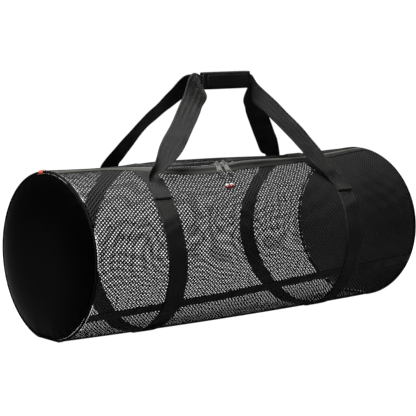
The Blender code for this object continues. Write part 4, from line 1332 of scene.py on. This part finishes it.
# The rear band's darker finish is painted shade.
zip_facing("rear", FACING_REAR_SHADED, -1)

# %% Coil
TOOTH_PITCH = 0.0021
TOOTH_STEPS = 6
TOOTH_HEIGHT = 0.00035
TEETH_REACH = 0.8
COIL_CROWN = 0.0006
COIL_WALL = 0.0018
COIL_COLUMNS = 9


def zip_coil():
    """Rows along the zip, six to a tooth: crown x (1 - across^2) + teeth, whose wave is
    turned by half a tooth from one side of the middle to the other."""
    s = np.arange(-NET_HALF, NET_HALF, TOOTH_PITCH / TOOTH_STEPS)[:, None]
    across = np.linspace(1.0, -1.0, COIL_COLUMNS)
    crown = COIL_CROWN * (1 - across**2)
    phase = 2 * np.pi * s / TOOTH_PITCH + np.pi * (across > 0)
    teeth = TOOTH_HEIGHT * np.sin(phase) * (np.abs(across) < TEETH_REACH)
    lift = LAYER_GAP + FACING_THICKNESS - COIL_CROWN + crown + teeth
    width = across * CHAIN_WIDTH / 2
    angle = zip_row(s)["angle"] + degrees_along(width)
    piece = surface("coil", skin(s, angle, lift), COIL_PLASTIC, width, s[:, 0])
    thicken(piece, COIL_WALL)
    settle(piece, "zip_coil", "zip_chain")


zip_coil()

# %% [markdown]
# ## The ends
# Each end is a round panel of smooth black padded cloth that bulges softly. Seen from
# the side its profile is flat in the middle and rolls over towards the seam. The seam
# itself is bound with tape, which makes a bead round the whole end.

# %% End panels and bound seams
PANEL_CURVE = 5
PANEL_SIDES = 180
PANEL_SHARES = np.hstack([np.linspace(1.0, 0.86, 15), np.linspace(0.84, 0.02, 36)])
PUCKER_HEIGHT = 0.0006
PUCKER_COUNT = 34
PUCKER_DRIFT = (1.5, 5)
PUCKER_BAND = (0.95, 0.045)
SEAM_HOLD = 0.012
BEAD_SIDES = 14
BEAD_STEPS = 360


def panel_point(side, angle, share):
    """The panel at an angle round it and a share of the way from its middle (0) to its
    rim (1). Bulge = height x (1 - share^5), with slow ripples beside the seam, where
    the panel is eased into the smaller round."""
    s = OUTWARD[side] * (BAG_LENGTH / 2 - BINDING_RADIUS + PANEL_WALL / 2)
    centre, along, _ = axis_point(s)
    rim = skin(s, angle, BINDING_PROUD - 2 * BINDING_RADIUS - SEAM_GAP)
    share, turn = np.asarray(share, float)[..., None], np.radians(angle)[..., None]
    drift = PUCKER_DRIFT[0] * np.sin(PUCKER_DRIFT[1] * turn)
    pucker = PUCKER_HEIGHT * np.sin(PUCKER_COUNT * turn + drift)
    pucker = pucker * hump(share - PUCKER_BAND[0], PUCKER_BAND[1])
    pucker = pucker * (1 - hump(share - 1.0, SEAM_HOLD))
    bulge = PANEL_BULGE * (1 - share**PANEL_CURVE) + pucker
    return centre + share * (rim - centre) + OUTWARD[side] * bulge * along


def end_panel(side):
    """Rings from the rim to the middle, close together near the rim. They turn the other
    way on the right, so that the faces look outwards. The lining is the second finish,
    which the wall gives to its inner side."""
    angle = np.linspace(0.0, 360.0, PANEL_SIDES, endpoint=False)[:: -OUTWARD[side]]
    points = panel_point(side, angle, PANEL_SHARES[:, None])
    across = np.linspace(0.0, 2 * np.pi * BAG_RADIUS, PANEL_SIDES + 1)
    inwards = PANEL_SHARES * BAG_RADIUS
    piece = surface(f"panel_{side}", points, END_CLOTH, across, inwards, (False, True))
    fill_rings(piece, PANEL_SIDES, (-1,), closes=False)
    piece.data.materials.append(END_LINING)
    thicken(piece, PANEL_WALL).material_offset = 1
    settle(piece, "end_cloth", f"end_panel_{side}")


def end_binding(side):
    """A bead round the end: skin at the seam + radius x (cos t along, sin t out)."""
    turn = np.linspace(0.0, 2 * np.pi, BEAD_SIDES, endpoint=False)[:, None]
    angle = np.linspace(0.0, 360.0, BEAD_STEPS, endpoint=False)
    s = OUTWARD[side] * (BAG_LENGTH / 2 - BINDING_RADIUS) + BINDING_RADIUS * np.cos(turn)
    lift = BINDING_PROUD - BINDING_RADIUS + BINDING_RADIUS * np.sin(turn)
    points = skin(s, angle, lift)
    around = np.linspace(0.0, 2 * np.pi * BAG_RADIUS, BEAD_STEPS + 1)
    over = np.linspace(0.0, 2 * np.pi * BINDING_RADIUS, BEAD_SIDES + 1)
    piece = surface(f"bound_seam_{side}", points, BINDING, around, over, (True, True))
    settle(piece, "binding", f"end_binding_{side}")


for side in OUTWARD:
    end_panel(side)
    end_binding(side)

# %% The red tab
TAB_WIDTH = 0.015
TAB_REACH = 0.005
TAB_HANG = 0.003
TAB_THICKNESS = 0.0012
TAB_FOLD = 105.0
TAB_BESIDE_ZIP = 9.5
TAB_GRID = (16, 13)


def tab_profile(steps):
    """From the net over the seam and down the end: level, then a quarter round with
    radius x (sin t, cos t) and a little more, then straight down."""
    on_net = max(BINDING_PROUD, FACING_THICKNESS + LAYER_GAP) + LAYER_GAP + TAB_THICKNESS
    centre = BINDING_PROUD - BINDING_RADIUS
    radius = on_net - centre
    turn = np.radians(np.linspace(0.0, TAB_FOLD, steps))
    beyond = np.hstack([-TAB_REACH, radius * np.sin(turn), radius * np.sin(turn[-1])])
    above = np.hstack([on_net, centre + radius * np.cos(turn), 0.0])
    above[-1] = above[-2] - TAB_HANG
    return beyond, above


def zip_tab():
    """The profile as rows and a few columns round the bag, which curl at the edges."""
    beyond, above = tab_profile(TAB_GRID[0])
    s = BINDING_RADIUS - BAG_LENGTH / 2 - beyond[:, None]
    across = np.linspace(-1.0, 1.0, TAB_GRID[1])
    middle = zip_row(-BAG_LENGTH / 2)["angle"] + TAB_BESIDE_ZIP
    angle = middle + degrees_along(across * TAB_WIDTH / 2)
    points = skin(s, angle, above[:, None] - EDGE_CURL * across**2)
    run = running_length(points[:, len(across) // 2])
    piece = surface("red_tab", points, RED_CLOTH, across * TAB_WIDTH / 2, run)
    thicken(piece, TAB_THICKNESS)
    settle(piece, "red_tab", "zip_tab")


zip_tab()

# %% [markdown]
# ## Stitches and metal
# Seams tell what holds a bag together. One stitch is a short thread that stands on the
# cloth and dives into it at both ends, so it is a small spindle of 36 triangles. A seam
# is a line on the cloth, and stitches are set along it at a steady pitch: each one is
# turned with the line and with the cloth's way out. All stitches of a seam are one
# mesh, whose points come from a single product of arrays.

# %% Stitch helpers
STITCH_PITCH = 0.0042
STITCH_LENGTH = 0.0030
STITCH_RADIUS = 0.00028
STITCH_LIFT = 0.0001
STITCH_SIDES = 6
STITCH_RINGS = (45.0, 90.0, 135.0)


def spindle():
    """A stitch: x = -cos(t) x length / 2 with a radius of sin(t) at three rings of six
    points, and a point at each end. Its faces are triangles."""
    turn = np.linspace(0.0, 2 * np.pi, STITCH_SIDES, endpoint=False)
    steps = np.radians(STITCH_RINGS)[:, None]
    x = np.broadcast_to(-np.cos(steps), (len(steps), len(turn))) * STITCH_LENGTH / 2
    y = np.sin(steps) * np.cos(turn) * STITCH_RADIUS
    z = np.sin(steps) * np.sin(turn) * STITCH_RADIUS
    rings = np.stack([x, y, z], axis=-1).reshape(-1, 3)
    ends = np.array([(-STITCH_LENGTH / 2, 0.0, 0.0), (STITCH_LENGTH / 2, 0.0, 0.0)])
    here = np.arange(STITCH_SIDES)
    there = np.roll(here, -1)
    first = np.full(STITCH_SIDES, len(rings))
    faces = [(first, there, here)]
    for ring in range(0, len(rings) - STITCH_SIDES, STITCH_SIDES):
        upper = ring + STITCH_SIDES
        faces.append((ring + here, ring + there, upper + there))
        faces.append((ring + here, upper + there, upper + here))
    faces.append((first + 1, upper + here, upper + there))
    return np.vstack([rings, ends]), np.vstack([np.stack(face, axis=-1) for face in faces])


def read_line(at, run, values):
    """Points or ways (n, 3) of a line read at some places along it."""
    return np.stack([np.interp(at, run, column) for column in values.T], axis=-1)


def stitch_places(line, out):
    """Middles, ways along and ways out of the stitches on one line (n, 3)."""
    run = running_length(line)
    count = max(1, int(run[-1] / STITCH_PITCH))
    at = (np.arange(count) + 0.5) * run[-1] / count
    ahead = np.gradient(line, axis=0)
    return read_line(at, run, line), unit(read_line(at, run, ahead)), unit(read_line(at, run, out))


def stitch_seams(name, lines, slot):
    """All stitches of some lines as one mesh: middle + x along + y side + z out."""
    shape, faces = spindle()
    places = [stitch_places(line, out) for line, out in lines]
    middle, along, out = (np.vstack(parts) for parts in zip(*places))
    side = unit(np.cross(out, along))
    out = np.cross(along, side)
    axes = np.stack([along, side, out], axis=1)
    points = middle[:, None] + np.einsum("pk,nkc->npc", shape, axes)
    numbers = faces[None] + len(shape) * np.arange(len(middle))[:, None, None]
    piece = build_piece(name, points.reshape(-1, 3), numbers.reshape(-1, 3), THREAD)
    settle(piece, slot)


# %% Seams on the webbing
GIRTH_SEAM_PLACES = (-0.88, 0.88)
HEM_OUT = {"front": 45.0, "rear": 135.0}
FOOT_BOX = ((0.003, -0.86), (0.003, 0.86), (0.0135, 0.86), (0.0135, -0.86))
FOOT_LINES = ((0, 1), (1, 2), (2, 3), (3, 0), (0, 2), (1, 3))


def girth_seams(side):
    """Two seams near the strip's edges, from the front facing round to the rear."""
    across = np.array(GIRTH_SEAM_PLACES)
    angles = girth_angles(side, across)
    lines = strip_point(side, angles, across[:, None], STITCH_LIFT)
    return [(line, outward(girth_centre(side, at), at)) for line, at in zip(lines, angles)]


def foot_seams(face, side):
    """A box of seams with a cross in it on a handle's sewn foot, on the outer face of
    the webbing. A corner is a place along the strap and one across it."""
    middle, half, _ = leg_parts(handle_leg(face, side))
    run = running_length(middle)
    normal = unit(np.cross(np.gradient(middle, axis=0), half))
    out = outward(0.0, np.array(HEM_OUT[face]))
    steps = np.linspace(0.0, 1.0, 12)[:, None]
    seams = []
    for start, stop in FOOT_LINES:
        at, across = (FOOT_BOX[start] + steps * np.subtract(FOOT_BOX[stop], FOOT_BOX[start])).T
        away = unit(read_line(at, run, normal))
        away = away * np.sign((away * out).sum(-1, keepdims=True))
        place = read_line(at, run, middle) + across[:, None] * read_line(at, run, half)
        seams.append((place + (WEBBING_THICKNESS / 2 + STITCH_LIFT) * away, away))
    return seams


for side in OUTWARD:
    stitch_seams(f"girth_seams_{side}", girth_seams(side), "webbing")
feet = [foot_seams(face, side) for face in REARWARD for side in OUTWARD]
stitch_seams("foot_seams", sum(feet, []), "webbing")


# %% Seams on the zip, the lower strip and the wrap
SEAM_FROM_END = 0.004
FACING_SEAM_PLACES = (0.0085, FACING_WIDTH - 0.0018)
LOWER_SEAM_PLACE = 0.38
WRAP_SEAM_IN = 0.003
WRAP_SEAM_HALF = 0.014
SEAM_S = np.linspace(SEAM_FROM_END - NET_HALF, NET_HALF - SEAM_FROM_END, 500)


def seam_along(angle, lift):
    """One seam along the bag: its line on the skin, and the ways out."""
    return skin(SEAM_S, angle, lift), outward(SEAM_S, angle)


def facing_seams(side):
    """Two seams on a facing: near the coil's lip and near its outer edge."""
    seams = []
    for place in FACING_SEAM_PLACES:
        away = CHAIN_WIDTH / 2 + place
        lift = facing_lift(SEAM_S, side, away) + STITCH_LIFT
        seams.append(seam_along(zip_angle(SEAM_S, side, away), lift))
    return seams


def lower_seams():
    """Two seams near the narrow strip's edges."""
    lift = LAYER_GAP + LOWER_STRIP_THICKNESS + STITCH_LIFT
    away = degrees_along(LOWER_SEAM_PLACE * LOWER_STRIP_WIDTH)
    return [seam_along(lower_strip_angle(SEAM_S) + sign * away, lift) for sign in (-1, 1)]


def wrap_seams():
    """A seam round the blank patch and one along each end of the wrap's front."""
    x, z = (size / 2 - WRAP_SEAM_IN for size in PATCH_SIZE)
    edge = GRIP_LENGTH / 2 - WRAP_SEAM_IN
    steps = np.linspace(-1.0, 1.0, 40)
    front = np.broadcast_to(-np.eye(3)[1], (len(steps), 3))
    lift = PATCH_THICKNESS + PATCH_LIFT + STITCH_LIFT
    still = 0 * steps
    lines = [wrap_front(steps * x, sign * z + still, lift) for sign in (-1, 1)]
    lines += [wrap_front(sign * x + still, steps * z, lift) for sign in (-1, 1)]
    height = steps * WRAP_SEAM_HALF
    lines += [wrap_front(sign * edge + still, height, STITCH_LIFT) for sign in (-1, 1)]
    return [(line, front) for line in lines]


stitch_seams("facing_seams", facing_seams("front") + facing_seams("rear"), "facing_cloth")
stitch_seams("lower_seams", lower_seams(), "webbing")
stitch_seams("wrap_seams", wrap_seams(), "grip_cloth")

# %% [markdown]
# ## Metal
# The sliders and pulls keep their solids, because their shape is right as it is. They
# get a metal that has been handled: a grey zinc, whose gloss is broken by fine brushing
# along the pull and by soft smudges.

# %% Metal
def zinc(name, dark, light, roughness):
    """Metal: smudges drive its colour and roughness, and long thin noise its bump."""
    material = new_finish(name, Metallic=0.6)
    place = coordinates(material, "Object")
    smudges = noise(material, place, 160.0)
    longer = {"Vector": place, "Scale": (1.0, 1.0, 0.12)}
    stretched = add_node(material, "ShaderNodeMapping", longer).outputs[0]
    connect(
        material,
        Base_Color=blend_colours(material, smudges, dark, light),
        Roughness=between(material, smudges, *roughness),
    )
    bump(material, noise(material, stretched, 3500.0, 2.0), 0.00006)
    return material


ZINC = zinc("zinc", (0.30, 0.30, 0.285), (0.50, 0.50, 0.475), (0.40, 0.58))
metal = [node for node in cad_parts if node.startswith(("zip_slider", "zip_pull"))]
for node in metal:
    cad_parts[node].material_slots[0].material = ZINC
print("metal on", metal)

# %% [markdown]
# ## Floor and light
# The photograph shows the bag on pure white, lit softly from above and a little from
# behind, so that whatever faces up is grey and whatever faces the camera stays black. A
# wide pale floor and a plain sky look white to the camera, but give little light
# themselves: black cloth would turn grey between large white surfaces. The light comes
# from a broad lamp above and a weak one in front.

# %% Floor and light
SKY_LIGHT = 0.035
SKY_SEEN = 1.05
FLOOR_GLOW = 1.00
FLOOR_REACH = 60.0
LAMP_COLUMNS = ("name", "place", "aim", "size", "power")
LAMPS = (
    ("top_lamp", (-0.9, 0.40, 2.5), (0.0, 0.0, 0.2), 1.6, 150.0),
    ("front_lamp", (1.3, -2.6, 1.1), (0.2, 0.0, 0.1), 1.2, 3.0),
)


def seen_by_camera(owner):
    """A number that is 1 for what the camera sees itself and 0 for light that bounces."""
    return add_node(owner, "ShaderNodeLightPath").outputs["Is Camera Ray"]


def make_floor():
    """A wide pale floor at the height that the bag rests on."""
    material = new_finish("floor_paper", Emission_Color=(1.0, 1.0, 1.0, 1.0))
    grain = noise(material, coordinates(material, "Object"), 3.0)
    glow = calculate(material, "MULTIPLY", seen_by_camera(material), FLOOR_GLOW)
    connect(
        material,
        Base_Color=blend_colours(material, grain, (0.16, 0.16, 0.16), (0.19, 0.19, 0.19)),
        Roughness=between(material, grain, 0.8, 0.9),
        Emission_Strength=glow,
    )
    corners = FLOOR_REACH * np.array([(-1, -1, 0), (1, -1, 0), (1, 1, 0), (-1, 1, 0)], float)
    build_piece("floor", corners, np.arange(4)[None], material)


def make_lamp(name, place, aim, size, power):
    """A white square area lamp that looks at a point."""
    lamp = bpy.data.objects.new(name, bpy.data.lights.new(name, "AREA"))
    bpy.context.scene.collection.objects.link(lamp)
    lamp.data.size = size
    lamp.data.energy = power
    lamp.location = place
    lamp.rotation_euler = (Vector(aim) - Vector(place)).to_track_quat("-Z", "Y").to_euler()


def make_sky():
    """White where the camera sees it, and a dim plain light for all that it lights."""
    world = bpy.data.worlds.new("sky")
    bpy.context.scene.world = world
    world.use_nodes = True
    background = world.node_tree.nodes["Background"]
    background.inputs["Color"].default_value = (1.0, 1.0, 1.0, 1.0)
    strength = between(world, seen_by_camera(world), SKY_LIGHT, SKY_SEEN)
    world.node_tree.links.new(strength, background.inputs["Strength"])


make_floor()
make_sky()
for lamp in LAMPS:
    make_lamp(**dict(zip(LAMP_COLUMNS, lamp)))
bpy.context.scene.view_settings.view_transform = "Standard"
